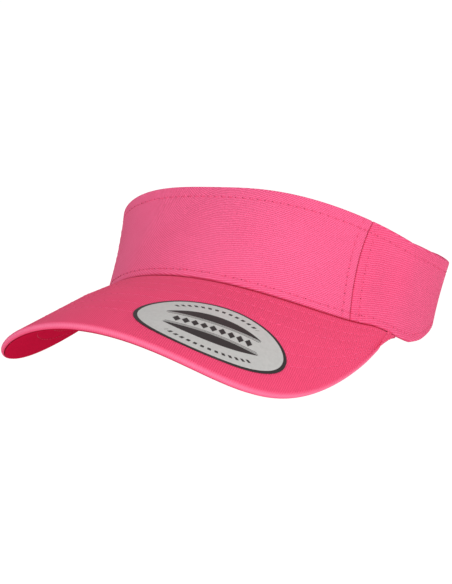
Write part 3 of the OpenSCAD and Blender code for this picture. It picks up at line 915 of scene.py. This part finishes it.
# %% The sweatband and its foam
SWEAT_T, SWEAT_END, SWEAT_LOW, SWEAT_HIGH = 0.0008, 126.0, 0.001, 0.028
SWEAT_STITCH = 0.0022
FOAM_T, FOAM_END, FOAM_INSET = 0.0018, SEAM_LOW - 10, 0.0045


def sweat_depth(a, v):
    """The sweatband's middle: sewn down along both edges, and puffed over the foam between."""
    edge = np.minimum(v - SWEAT_LOW, SWEAT_HIGH - v)
    rise = 0.0019 * (1 - ease(FOAM_END + 2, SEAM_LOW + 8, np.abs(a)))
    puff = ease(0.0006, 0.0042, edge)
    sewn = groove(edge - SWEAT_STITCH, 0.00022, 0.0009)
    pucker = 0.00010 * np.sin(run_of(a) * math.tau / 0.0052 + 0.8 * np.sin(run_of(a) * 70))
    return (lining_at(a) + LINING_T + 0.0003 + SWEAT_T / 2 + rise * (0.12 + 0.88 * puff)
            - sewn * 0.8 + pucker * groove(edge - SWEAT_STITCH, 1, 0.003))


sweat_twill = twill("sweatband_twill", (0.86, 0.135, 0.29), (0.70, 0.06, 0.16), 62, rib=0.0010)
foam_run, sweat_run = float(run_of(FOAM_END)), float(run_of(SWEAT_END))
cloth, grid, flat = lay_strip("sweatband_cloth", fixed(-sweat_run), fixed(sweat_run),
                              fixed(SWEAT_LOW), fixed(SWEAT_HIGH), sweat_depth, SWEAT_T, 0.0011)
finish_piece(cloth, sweat_twill, "sweatband_twill", "sweatband")

foam, tree, shader = new_material("open_foam")
pores = grow(tree, "ShaderNodeTexVoronoi", {"Scale": 1400.0}).outputs["Distance"]
raise_surface(tree, shader, pores, 0.0003)
dye(tree, shader, noise(tree, 300, 3), (0.80, 0.76, 0.66), (0.90, 0.87, 0.79))
pad, grid, flat = lay_strip(
    "sweatband_pad", fixed(-foam_run), fixed(foam_run), fixed(FOAM_INSET),
    fixed(SWEAT_HIGH - FOAM_INSET),
    lambda a, v: lining_at(a) + LINING_T + 0.0002 + FOAM_T / 2, FOAM_T - 0.0002, 0.0022)
finish_piece(pad, foam, "foam", "sweatband_foam")

# %% [markdown]
# A blank label of satin ribbon is caught in the sweatband's top row of stitches. Its free end
# curls away from the cloth a little, as a label does after a few days on a head.

# %% The care label
LABEL_W, LABEL_T, LABEL_AT, LABEL_LOW, LABEL_HIGH = 0.022, 0.0003, 96.0, 0.006, 0.020
satin, tree, shader = new_material("satin_label")
along, across = flat_place(tree)
yarns = calc(tree, "MULTIPLY_ADD", ripple(tree, along, 0.0011), 0.3, ripple(tree, across, 0.00028))
raise_surface(tree, shader, yarns, 0.00003)
dye(tree, shader, noise(tree, 90, 3), (0.86, 0.85, 0.83), (0.95, 0.95, 0.94))
set_finish(shader, Roughness=0.42, Sheen_Weight=0.3)
label_run = float(run_of(LABEL_AT))


def label_depth(a, v):
    """The middle of the ribbon, curling in towards its free end."""
    curl = 0.0007 * ease(0.012, 0.006, v) * (0.6 + 0.4 * np.sin((run_of(a) - label_run) * 140))
    return POCKET_FLOOR + LINING_T + 0.0006 + SWEAT_T + LABEL_T / 2 + curl


cloth, grid, flat = lay_strip("care_label_ribbon", fixed(label_run - LABEL_W / 2),
                              fixed(label_run + LABEL_W / 2), fixed(LABEL_LOW), fixed(LABEL_HIGH),
                              label_depth, LABEL_T, 0.0008)
finish_piece(cloth, satin, "label", "care_label")

# %% [markdown]
# At the back, the hook strap comes out of the left panel's pocket and laps over the loop strap.
# The strap and its tab are one strip of twill, which bends where the tab peels.

# %% The hook strap and its tab
STRAP_ROOT, TAB_ROOT, TAB_END, TAB_ROUND = 136.0, 166.0, 198.0, 6.0
STRAP_W, STRAP_STITCH_IN = 0.027, 0.0025
STRAP_LOW = (1 - STRAP_W / REAR_H) / 2


def strap_place(a, share, inset=0.0, end=None):
    """Height up the wall at a share of a strap's width; a strap's free end is rounded."""
    low = STRAP_LOW + inset / REAR_H
    near = 0 if end is None else np.clip(1 - np.abs(a - end) / TAB_ROUND, 0, 1)
    cut = 0.3 * (1 - np.sqrt(1 - near * near))
    return mix(mix(low, 1 - low, cut), mix(1 - low, low, cut), share) * wall_len(a)


def strap_sheet(name, a0, a1, depth, thick, inset=0.0, end=None, sewn=0.0, step=0.0011):
    """A strap from one angle to another. depth is that of its outer face, at each angle."""
    start, length = float(run_of(a0)), float(run_of(a1) - run_of(a0))
    a = angle_of(start + spaced(length, step, thick / 2))
    wide = (STRAP_W - 2 * inset) * float(wall_len(np.array(180.0))) / REAR_H
    share = spaced(wide, step, thick / 2)[:, None] / wide
    v = strap_place(a, share, inset, end)
    rows = sum(groove(x, sewn, 0.0009) for x in
               (share * wide - STRAP_STITCH_IN, (1 - share) * wide - STRAP_STITCH_IN))
    grid = band(a, v, depth(a) + thick / 2 + rows)
    flat = np.stack(np.broadcast_arrays(run_of(a), (share - 0.5) * wide), -1)
    return sheet_mesh(name, grid, thick, flat), grid, flat


strap_twill = twill("strap_twill", CROWN, GROOVE_SHADE, 38, rib=0.0012)
cloth, grid, flat = strap_sheet("hook_strap_and_tab", STRAP_ROOT, TAB_END, lambda a: POCKET_DEPTH,
                                STRAP_T, end=TAB_END, sewn=0.00018)
finish_piece(cloth, strap_twill, "twill", "hook_strap", "hook_tab", body=None)
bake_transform(cloth)

# %% [markdown]
# The loop strap comes out of the right panel's pocket and carries the tape of soft loops, and
# the tab carries the tape of stiff hooks. Both tapes have a woven backing, which shows between
# the filaments. Each depth adds up the layers in front of it.

# %% The loop strap and the two tapes
TAPE_DEPTH = POCKET_DEPTH + STRAP_T + PLY_GAP / 2
PILE_DEPTH = TAPE_DEPTH + HOOK_T + STRAP_GAP
LOOP_DEPTH = PILE_DEPTH + LOOP_T + PLY_GAP / 2
BACKING_T = 0.00035
PILE_BACK = PILE_DEPTH + LOOP_T - BACKING_T
HOOK_BACKING_T = BACKING_T * 0.8


def loop_strap_depth(a):
    """The loop strap's outer face, which comes forward to its pocket in the right panel."""
    return LOOP_DEPTH - (LOOP_DEPTH - POCKET_FLOOR - LINING_T - PLY_GAP) * ease(
        TAB_END + 2, 360 - PANEL_END, a)


cloth, grid, flat = strap_sheet("loop_strap_cloth", TAB_ROOT - 6, 360 - PANEL_END + 9,
                                loop_strap_depth, STRAP_T)
finish_piece(cloth, strap_twill, "twill", "loop_strap")

tape_weave = weave("tape_backing", (0.72, 0.10, 0.24), (0.52, 0.04, 0.12), 0.0004)
cloth, grid, flat = strap_sheet("loop_tape_backing", TAB_ROOT - 5, TAB_END + 2,
                                lambda a: PILE_BACK, BACKING_T, inset=0.002)
finish_piece(cloth, tape_weave, "loop_pile", "loop_tape")
cloth, grid, flat = strap_sheet("hook_tape_backing", TAB_ROOT + 2, TAB_END - 7,
                                lambda a: TAPE_DEPTH, HOOK_BACKING_T, inset=0.003)
finish_piece(cloth, tape_weave, "hooks", "hook_tape", body="tab")

# %% [markdown]
# Loops, hooks and stitches all repeat, so Geometry Nodes places them. The first tree scatters
# small arcs of filament over a surface: closed half circles for the loops, and arcs that curl
# past upright for the hooks. Each arc is only a few dozen triangles, and its seed is fixed.

# %% A tree that grows loops and hooks
def new_tree(name, **inputs):
    """A Geometry Nodes tree with a Guide input and one input for each name given."""
    kinds = {int: "NodeSocketInt", float: "NodeSocketFloat", type(None): "NodeSocketMaterial"}
    tree = bpy.data.node_groups.new(name, "GeometryNodeTree")
    tree.interface.new_socket("Guide", in_out="INPUT", socket_type="NodeSocketGeometry")
    for label, value in inputs.items():
        socket = tree.interface.new_socket(label, in_out="INPUT", socket_type=kinds[type(value)])
        if value is not None:
            socket.default_value = value
    tree.interface.new_socket("Result", in_out="OUTPUT", socket_type="NodeSocketGeometry")
    return tree, tree.nodes.new("NodeGroupInput").outputs, tree.nodes.new("NodeGroupOutput")


def dress(tree, geometry, out, material=None):
    """Ends a tree: real geometry, smooth, with its material."""
    real = grow(tree, "GeometryNodeRealizeInstances", {"Geometry": geometry})
    final = grow(tree, "GeometryNodeSetShadeSmooth", {"Geometry": real.outputs[0]})
    if material is not None:
        final = grow(tree, "GeometryNodeSetMaterial", {"Geometry": final.outputs[0],
                                                       "Material": material})
    tree.links.new(final.outputs[0], out.inputs["Result"])


def apply_tree(name, guide, tree, **values):
    """Runs a tree on a guide mesh and keeps the result as a plain mesh."""
    modifier = guide.modifiers.new("grow", "NODES")
    modifier.node_group = tree
    for item in tree.interface.items_tree:
        if item.in_out == "INPUT" and item.name in values:
            modifier[item.identifier] = values[item.name]
    guide.update_tag()
    ready = guide.evaluated_get(bpy.context.evaluated_depsgraph_get())
    mesh = bpy.data.meshes.new_from_object(ready)
    mesh.name = name
    bpy.data.objects.remove(guide)
    print(name, "has", sum(len(p.vertices) - 2 for p in mesh.polygons), "triangles")
    return place_in_scene(name, mesh)


pile_tree, into, out = new_tree("filament_pile", Density=600000.0, Radius=0.0004, Filament=0.00006,
                                Start=0.0, Sweep=math.pi, Seed=3, Material=None)
spots = grow(pile_tree, "GeometryNodeDistributePointsOnFaces",
             {"Mesh": into["Guide"], "Density": into["Density"], "Seed": into["Seed"]})
arc = grow(pile_tree, "GeometryNodeCurveArc",
           {"Resolution": 6, "Radius": into["Radius"], "Start Angle": into["Start"],
            "Sweep Angle": into["Sweep"]})
upright = grow(pile_tree, "GeometryNodeTransform", {"Geometry": arc.outputs["Curve"],
                                                    "Rotation": (math.pi / 2, 0, 0)})
profile = grow(pile_tree, "GeometryNodeCurvePrimitiveCircle", {"Resolution": 4,
                                                              "Radius": into["Filament"]})
fibre = grow(pile_tree, "GeometryNodeCurveToMesh", {"Curve": upright.outputs[0],
                                                    "Profile Curve": profile.outputs[0]})
planted = grow(pile_tree, "GeometryNodeInstanceOnPoints",
               {"Points": spots.outputs["Points"], "Instance": fibre.outputs[0],
                "Rotation": spots.outputs["Rotation"]})
turn = grow(pile_tree, "FunctionNodeRandomValue", {"Seed": into["Seed"]}, data_type="FLOAT_VECTOR")
turn.inputs[0].default_value = (-0.35, -0.35, 0)
turn.inputs[1].default_value = (0.35, 0.35, math.tau)
turned = grow(pile_tree, "GeometryNodeRotateInstances", {"Instances": planted.outputs[0],
                                                         "Rotation": turn.outputs[0]})
dress(pile_tree, turned.outputs[0], out, into["Material"])
print("the pile tree has", len(pile_tree.nodes), "nodes")

# %% [markdown]
# The tree needs a surface to grow on: an open patch on the tape's backing. The side that its
# faces look to decides which way the filaments stand, outward on the loop tape and inward on
# the hook tape, so that the two meet.

# %% Loops and hooks on the tapes
def strap_guide(a0, a1, depth, inset, outward):
    """An open patch of a strap's face, on which filaments stand outward or inward."""
    a = np.linspace(a0, a1, 24)
    grid = band(a, strap_place(a, np.linspace(0, 1, 8)[:, None], inset), depth)
    rows, cols = grid.shape[:2]
    index = np.arange(rows * cols).reshape(rows, cols)
    faces = np.stack([index[:-1, :-1], index[:-1, 1:], index[1:, 1:], index[1:, :-1]], -1)
    normal = np.cross(grid[0, 1] - grid[0, 0], grid[1, 0] - grid[0, 0])
    faces = faces.reshape(-1, 4)
    if (normal @ wall_out(np.array(a0), np.array(0.5)) > 0) != outward:
        faces = faces[:, ::-1]
    mesh = bpy.data.meshes.new("strap_guide")
    mesh.from_pydata(grid.reshape(-1, 3).tolist(), [], faces.tolist())
    return place_in_scene("strap_guide", mesh)


def filament(name, colour, rough, clear=0.0):
    """Nylon thread: rough says how dull it is, and clear how much light it lets through."""
    material, tree, shader = new_material(name)
    paler = tuple(min(1, 1.25 * c + 0.03) for c in colour)
    dye(tree, shader, noise(tree, 900, 2), colour, paler)
    set_finish(shader, Roughness=rough, Transmission_Weight=clear)
    return material


PILE_FROM, PILE_TO = TAB_ROOT - 4.6, TAB_END + 1.6
loops = apply_tree("loop_tape_pile", strap_guide(PILE_FROM, PILE_TO, PILE_BACK, 0.0024, True),
                   pile_tree, Density=1.6e6, Radius=0.00033, Filament=0.00005, Seed=3,
                   Material=filament("loop_filament", (0.78, 0.12, 0.27), 0.7))
finish_piece(loops, loops.data.materials[0], "loop_pile")
hooks = apply_tree("hook_tape_hooks",
                   strap_guide(TAB_ROOT + 2.4, TAB_END - 7.4, TAPE_DEPTH + HOOK_BACKING_T,
                               0.0034, False),
                   pile_tree, Density=0.8e6, Radius=0.00022, Filament=0.00006, Seed=8,
                   Start=math.radians(-40), Sweep=math.radians(215),
                   Material=filament("hook_filament", (0.80, 0.22, 0.36), 0.35, 0.15))
finish_piece(hooks, hooks.data.materials[0], "hooks", body="tab")

# %% [markdown]
# The second tree sews. It follows a guide line, sets one stitch at every pitch, a long bead of
# thread pointing along the line, and between two stitches a small dark bead of painted shade where
# the needle hole is, which the thread ends in. Topstitching is the detail that makes cloth look
# sewn, so every row gets it.

# %% A tree that sews
def cotton(name, dark, pale):
    """Spun thread: its plies show as fine slanted bands."""
    material, tree, shader = new_material(name)
    ply = grow(tree, "ShaderNodeTexWave", {"Scale": 900.0, "Distortion": 1.0})
    tree.links.new(grow(tree, "ShaderNodeTexCoord").outputs["Object"], ply.inputs["Vector"])
    dye(tree, shader, ply.outputs["Fac"], dark, pale)
    raise_surface(tree, shader, ply.outputs["Fac"], 0.00004)
    set_finish(shader, Roughness=0.6, Specular_IOR_Level=0.15)
    return material


pink_thread = cotton("cotton_thread", (0.76, 0.07, 0.18), (0.90, 0.135, 0.29))
shade_thread = cotton("shaded_thread", (0.44, 0.008, 0.04), (0.55, 0.016, 0.065))
# The needle holes are small dark beads: painted shade where each hole is.
hole_shade_material, tree, shader = new_material("needle_hole_shade")
dye(tree, shader, noise(tree, 2000), (0.24, 0.012, 0.045), (0.38, 0.022, 0.075))
set_finish(shader, Roughness=1.0)

sew_tree, into, out = new_tree("topstitching", Pitch=0.0036, Length=0.0029, Width=0.00046,
                               Hole=0.00050, Seed=5, Thread=None, Dark=None)
sewn_line = grow(sew_tree, "GeometryNodeMeshToCurve", {"Mesh": into["Guide"]}).outputs["Curve"]
half_pitch = grow(sew_tree, "ShaderNodeMath", {0: into["Pitch"], 1: 0.5}, operation="MULTIPLY")
shifted = grow(sew_tree, "GeometryNodeTrimCurve", {"Curve": sewn_line, 4: half_pitch.outputs[0]},
               mode="LENGTH")
beads = []
for path, rings, size, material in ((sewn_line, 5, ("Length", "Width", "Width"), "Thread"),
                                    (shifted.outputs[0], 4, ("Hole",) * 3, "Dark")):
    points = grow(sew_tree, "GeometryNodeCurveToPoints", {"Curve": path, "Length": into["Pitch"]},
                  mode="LENGTH")
    facing = grow(sew_tree, "FunctionNodeAlignRotationToVector",
                  {"Vector": points.outputs["Tangent"]}, axis="X")
    vary = grow(sew_tree, "FunctionNodeRandomValue", {"Seed": into["Seed"]}, data_type="FLOAT")
    vary.inputs[2].default_value, vary.inputs[3].default_value = 0.88, 1.1
    bead = grow(sew_tree, "GeometryNodeMeshUVSphere", {"Segments": 8, "Rings": rings, "Radius": 0.5})
    whole = grow(sew_tree, "ShaderNodeCombineXYZ", dict(enumerate(into[x] for x in size)))
    scaled = grow(sew_tree, "ShaderNodeVectorMath", {0: whole.outputs[0]}, operation="SCALE")
    sew_tree.links.new(vary.outputs[1], scaled.inputs["Scale"])
    placed = grow(sew_tree, "GeometryNodeInstanceOnPoints",
                  {"Points": points.outputs["Points"], "Instance": bead.outputs["Mesh"],
                   "Rotation": facing.outputs[0], "Scale": scaled.outputs[0]})
    beads.append(grow(sew_tree, "GeometryNodeSetMaterial",
                      {"Geometry": placed.outputs[0], "Material": into[material]}).outputs[0])
joined = grow(sew_tree, "GeometryNodeJoinGeometry")
for placed_beads in reversed(beads):
    sew_tree.links.new(placed_beads, joined.inputs[0])
dress(sew_tree, joined.outputs[0], out)


def sew(name, lines, body, *nodes, **settings):
    """Stitches along lines of points, as one piece that rides on a body."""
    starts = np.cumsum([0] + [len(line) for line in lines])
    edges = [(int(s) + i, int(s) + i + 1) for s, line in zip(starts, lines)
             for i in range(len(line) - 1)]
    mesh = bpy.data.meshes.new(name + "_guide")
    mesh.from_pydata(np.concatenate(lines).tolist(), edges, [])
    piece = apply_tree(name, place_in_scene(name + "_guide", mesh), sew_tree,
                       **{"Thread": pink_thread, "Dark": hole_shade_material, **settings})
    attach(piece, body)
    if nodes:
        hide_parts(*nodes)


print("the sewing tree has", len(sew_tree.nodes), "nodes")

# %% [markdown]
# The band has a row below its top edge, one above the bottom edge, one on each side of both
# seams and one at each rear end. Each row reads the same relief as the cloth, so that the
# thread lies in its groove.

# %% Rows on the band
THREAD_UP, LONG_ROW_GAP, ROW_SHARE = 0.0001, 0.0045, (0.03, 0.97)


def band_row(run, share=None, rise=0.0, drop=None):
    """A row on the band's outer cloth: along it, or up it where share runs."""
    a = angle_of(run)
    length = wall_len(a)
    v = share * length if share is not None else (rise if drop is None else length - drop) + 0 * a
    relief = panel_relief(run, v, length, run_of(seam(v / length)))
    return band(a, v, relief - THREAD_UP)


long_run = np.linspace(-1, 1, 500) * (end_run - LONG_ROW_GAP)
up_share = np.linspace(*ROW_SHARE, 40)
band_rows = [band_row(long_run, drop=TOP_STITCH_DROP), band_row(long_run, rise=BASE_STITCH_RISE)]
for side in (-1, 1):
    band_rows += [band_row(side * (seam_run(up_share) + off), share=up_share)
                  for off in (-SEAM_STITCH_OFF, SEAM_STITCH_OFF)]
    band_rows.append(band_row(side * (end_run - 0.0028) + 0 * up_share, share=up_share))
sew("band_stitches", band_rows, "visor", "top_edge_stitching", "base_stitching",
    "seam_stitching")

# %% [markdown]
# Six rows hold the brim's covers to its board, and all stop short of its ends. The thread above is
# pulled nearly flush with the cloth, and below it is darker, painted shade as on the cloth there.

# %% Rows on the brim
row_s = np.sin(np.radians(np.linspace(-ROW_END, ROW_END, 160)))
top_rows, under_rows = [], []
for i in range(BRIM_ROWS):
    r = np.full_like(row_s, (ROW_FIRST + i * ROW_PITCH) / BRIM_LEN)
    sink = row_relief(row_s, r) - 0.00003
    top_rows.append(brim(row_s, r, sink) + PLACE)
    under_rows.append(brim(row_s, r, BRIM_T - sink) + PLACE)
sew("brim_stitches", top_rows, "visor", "brim_stitching", Width=0.00030, Hole=0.00026)
sew("under_brim_stitches", under_rows, "visor", Width=0.00026, Hole=0.00026, Thread=shade_thread)

# %% [markdown]
# The sweatband has a row along each edge. A box with one diagonal anchors the loop strap, and
# rows along both edges hold the tape and the strap behind it.

# %% Rows inside the band and on the loop strap
sweat_line = np.linspace(-1, 1, 420) * (sweat_run - 0.003)
inner_rows = []
for v in (SWEAT_LOW + SWEAT_STITCH, SWEAT_HIGH - SWEAT_STITCH):
    a = angle_of(sweat_line)
    inner_rows.append(band(a, v, sweat_depth(a, v + 0 * a) + SWEAT_T / 2 + THREAD_UP))
near, far = 360 - PANEL_END + np.array([1.8, 7.2])
low, high = 0.14, 0.86
anchor = np.array([(near, low), (far, low), (far, high), (near, high), (near, low), (far, high)])
fine = np.linspace(0, 1, 12)[:, None]
anchor_a, anchor_share = np.concatenate([mix(p, q, fine) for p, q in zip(anchor, anchor[1:])]).T
inner_rows.append(band(anchor_a, strap_place(anchor_a, anchor_share),
                       loop_strap_depth(anchor_a) + STRAP_T + THREAD_UP))
tape_a = np.linspace(PILE_FROM, PILE_TO, 60)
strap_a = np.linspace(TAB_END + 2.4, 360 - PANEL_END + 8.4, 30)
edge_share = STRAP_STITCH_IN / STRAP_W
for share in (edge_share, 1 - edge_share):
    inner_rows.append(band(tape_a, strap_place(tape_a, mix(*ROW_SHARE, share)),
                           PILE_BACK - THREAD_UP))
    inner_rows.append(band(strap_a, strap_place(strap_a, share),
                           loop_strap_depth(strap_a) - THREAD_UP))
sew("inner_stitches", inner_rows, "visor", Pitch=0.0032, Length=0.0026)

# %% [markdown]
# The hook strap's rows ride on the body strap and the tab's row on the body tab. The thread is finer
# and sunk, to clear the pocket as the strap slides.

# %% Rows on the hook strap and its tab
root_a = np.linspace(STRAP_ROOT + 2, TAB_ROOT - 0.5, 60)
outer_face = POCKET_DEPTH + 0.00016
STRAP_THREAD = {"Pitch": 0.0032, "Length": 0.0026, "Width": 0.0003, "Hole": 0.0003}
sew("strap_stitches", [band(root_a, strap_place(root_a, share), outer_face)
                       for share in (edge_share, 1 - edge_share)], "strap", "strap_stitching",
    **STRAP_THREAD)
tab_a = np.linspace(TAB_ROOT + 0.5, TAB_END - 2.4, 60)
end_share = np.linspace(edge_share, 1 - edge_share, 24)[1:-1]
tab_row_a = np.concatenate([tab_a, 0 * end_share + tab_a[-1], tab_a[::-1]])
tab_row_share = np.concatenate([0 * tab_a + edge_share, end_share, 0 * tab_a + 1 - edge_share])
sew("tab_stitches", [band(tab_row_a, strap_place(tab_row_a, tab_row_share, end=TAB_END),
                          outer_face)], "tab", "tab_stitching", **STRAP_THREAD)

# %% [markdown]
# The oval foil sticker is the one hard, bright thing on the visor. It is a disc mapped from a
# square grid, because a grid has even cells where a fan of triangles would pinch at its centre.
# It lies on the brim's surface, bends with it, and has a few faint ripples.

# %% The foil sticker
STICKER_L, STICKER_W, STICKER_U, STICKER_V, STICKER_TURN = 0.062, 0.035, 0.041, 0.0365, 22.5
STICKER_T, STICKER_LIFT = 0.0002, 0.00030


def sticker_flat(x, y):
    """Where on the flat brim a place on the sticker lies."""
    c, s = math.cos(math.radians(STICKER_TURN)), math.sin(math.radians(STICKER_TURN))
    return STICKER_U + x * c + y * s, STICKER_V - x * s + y * c


ruling = spaced(2.0, 0.035, 0.006) - 1
q, p = np.meshgrid(ruling, ruling)
disc_x = STICKER_L / 2 * q * np.sqrt(1 - p * p / 2)
disc_y = STICKER_W / 2 * p * np.sqrt(1 - q * q / 2)
u, v = sticker_flat(disc_x, disc_y)
ripples = 0.00003 * np.sin(disc_x * 260 + 2 * np.sin(disc_y * 190))
up = bent_up(u, v)
grid = bent(u, v) + up * (lift(u, v) + STICKER_LIFT + ripples)[..., None] + PLACE
sticker = sheet_mesh("foil_sticker", grid, STICKER_T, np.stack([disc_x, disc_y], -1), up)

# %% [markdown]
# The print is a black rim, two dark crescents, fine speed lines, a row of lozenges between them
# and two arcs of dashes. It says nothing: it is a pattern only. Each mark is a mask, 1 inside
# and 0 outside, worked out from the sticker's flat coordinates, and the masks are joined.

# %% The sticker's print
foil, foil_tree, foil_shader = new_material("printed_foil")


def work(operation, *values):
    return calc(foil_tree, operation, *values)


def over(value, limit):
    return work("GREATER_THAN", value, limit)


def under(value, limit):
    return work("LESS_THAN", value, limit)


def both(first, *masks):
    for mask in masks:
        first = work("MULTIPLY", first, mask)
    return first


def either(first, *masks):
    for mask in masks:
        first = work("MAXIMUM", first, mask)
    return first


def within(value, low, high):
    """1 where a value lies between two limits."""
    return both(over(value, low), under(value, high))


def square(value, size):
    part = work("DIVIDE", value, size)
    return work("MULTIPLY", part, part)


# The print's sizes are in millimetres, and the rim and the dashes are shares of the sticker.
RIM_SHARE, DASH_FROM, DASH_TO, DASH_TURN, DASH_END = 0.948, 0.74, 0.81, 8.6, 0.72
CRESCENT_FLAT, CRESCENT_TOP, CRESCENT_DROP, CRESCENT_END = 4.3, 9.1, 4.8, 19.0
LINE_PITCH, LINE_SHARE, LINE_LOW, LINE_HIGH, LINE_END = 0.62, 0.42, 2.95, 4.4, 15.5
LOZENGE_PITCH, LOZENGE_TALL, LOZENGE_END = 3.6, 2.3, 16.2
x, y = (work("MULTIPLY", value, 1000.0) for value in flat_place(foil_tree))
tall, wide = work("ABSOLUTE", y), work("ABSOLUTE", x)
radius = work("SQRT", work("ADD", square(x, STICKER_L * 500), square(y, STICKER_W * 500)))
rim = over(radius, RIM_SHARE)
arch = work("MULTIPLY_ADD", square(x, 19.5), -CRESCENT_DROP, CRESCENT_TOP)
crescent = both(within(tall, CRESCENT_FLAT, arch), under(wide, CRESCENT_END),
                over(arch, CRESCENT_FLAT))
stripe = under(work("FRACT", work("DIVIDE", tall, LINE_PITCH)), LINE_SHARE)
stripe_end = work("MULTIPLY_ADD", tall, 0.9, LINE_END)
speed = both(stripe, within(tall, LINE_LOW, LINE_HIGH), under(wide, stripe_end))
cell = work("FRACT", work("MULTIPLY_ADD", x, 1 / LOZENGE_PITCH, 0.5))
cell = work("ABSOLUTE", work("SUBTRACT", cell, 0.5))
slope = work("ADD", work("MULTIPLY", cell, 2.1), work("DIVIDE", tall, LOZENGE_TALL))
lozenge = both(under(slope, 0.93), under(wide, LOZENGE_END))
bearing = work("ARCTAN2", work("DIVIDE", y, STICKER_W / STICKER_L), x)
dash = under(work("FRACT", work("MULTIPLY", bearing, DASH_TURN)), 0.5)
dashes = both(dash, within(radius, DASH_FROM, DASH_TO),
              over(work("ABSOLUTE", work("SINE", bearing)), DASH_END))
printed = either(rim, crescent, speed, lozenge, dashes)
brushed = noise(foil_tree, 700, 3)
silver = blend_colours(foil_tree, brushed, (0.53, 0.53, 0.51), (0.66, 0.66, 0.64))
dye(foil_tree, foil_shader, printed, silver, (0.022, 0.018, 0.018))
foil_tree.links.new(work("MULTIPLY_ADD", printed, -0.3, 0.3), foil_shader.inputs["Metallic"])
foil_tree.links.new(work("MULTIPLY_ADD", brushed, 0.2, 0.28), foil_shader.inputs["Roughness"])
raise_surface(foil_tree, foil_shader, noise(foil_tree, 160, 4), 0.0002, 0.3)
finish_piece(sticker, foil, "foil", "brim_sticker")
print("the sticker is", STICKER_L * 1000, "x", STICKER_W * 1000, "mm")

# %% [markdown]
# One part of the CAD model stays as it is, between the cloths: the stiff interlining of the
# forehead. It shows only at an edge, but it gets a real finish too.

# %% A finish for the interlining
buckram, tree, shader = new_material("buckram")
place = grow(tree, "ShaderNodeTexCoord").outputs["Object"]
grain = grow(tree, "ShaderNodeTexWave", {"Vector": place, "Scale": 260.0}, bands_direction="Z")
dye(tree, shader, grain.outputs["Fac"], (0.76, 0.75, 0.71), (0.88, 0.88, 0.85))
raise_surface(tree, shader, grain.outputs["Fac"], 0.0001)
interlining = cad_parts["front_interlining"]
interlining.data.materials.clear()
interlining.data.materials.append(buckram)
print("the interlining is now", interlining.data.materials[0].name)
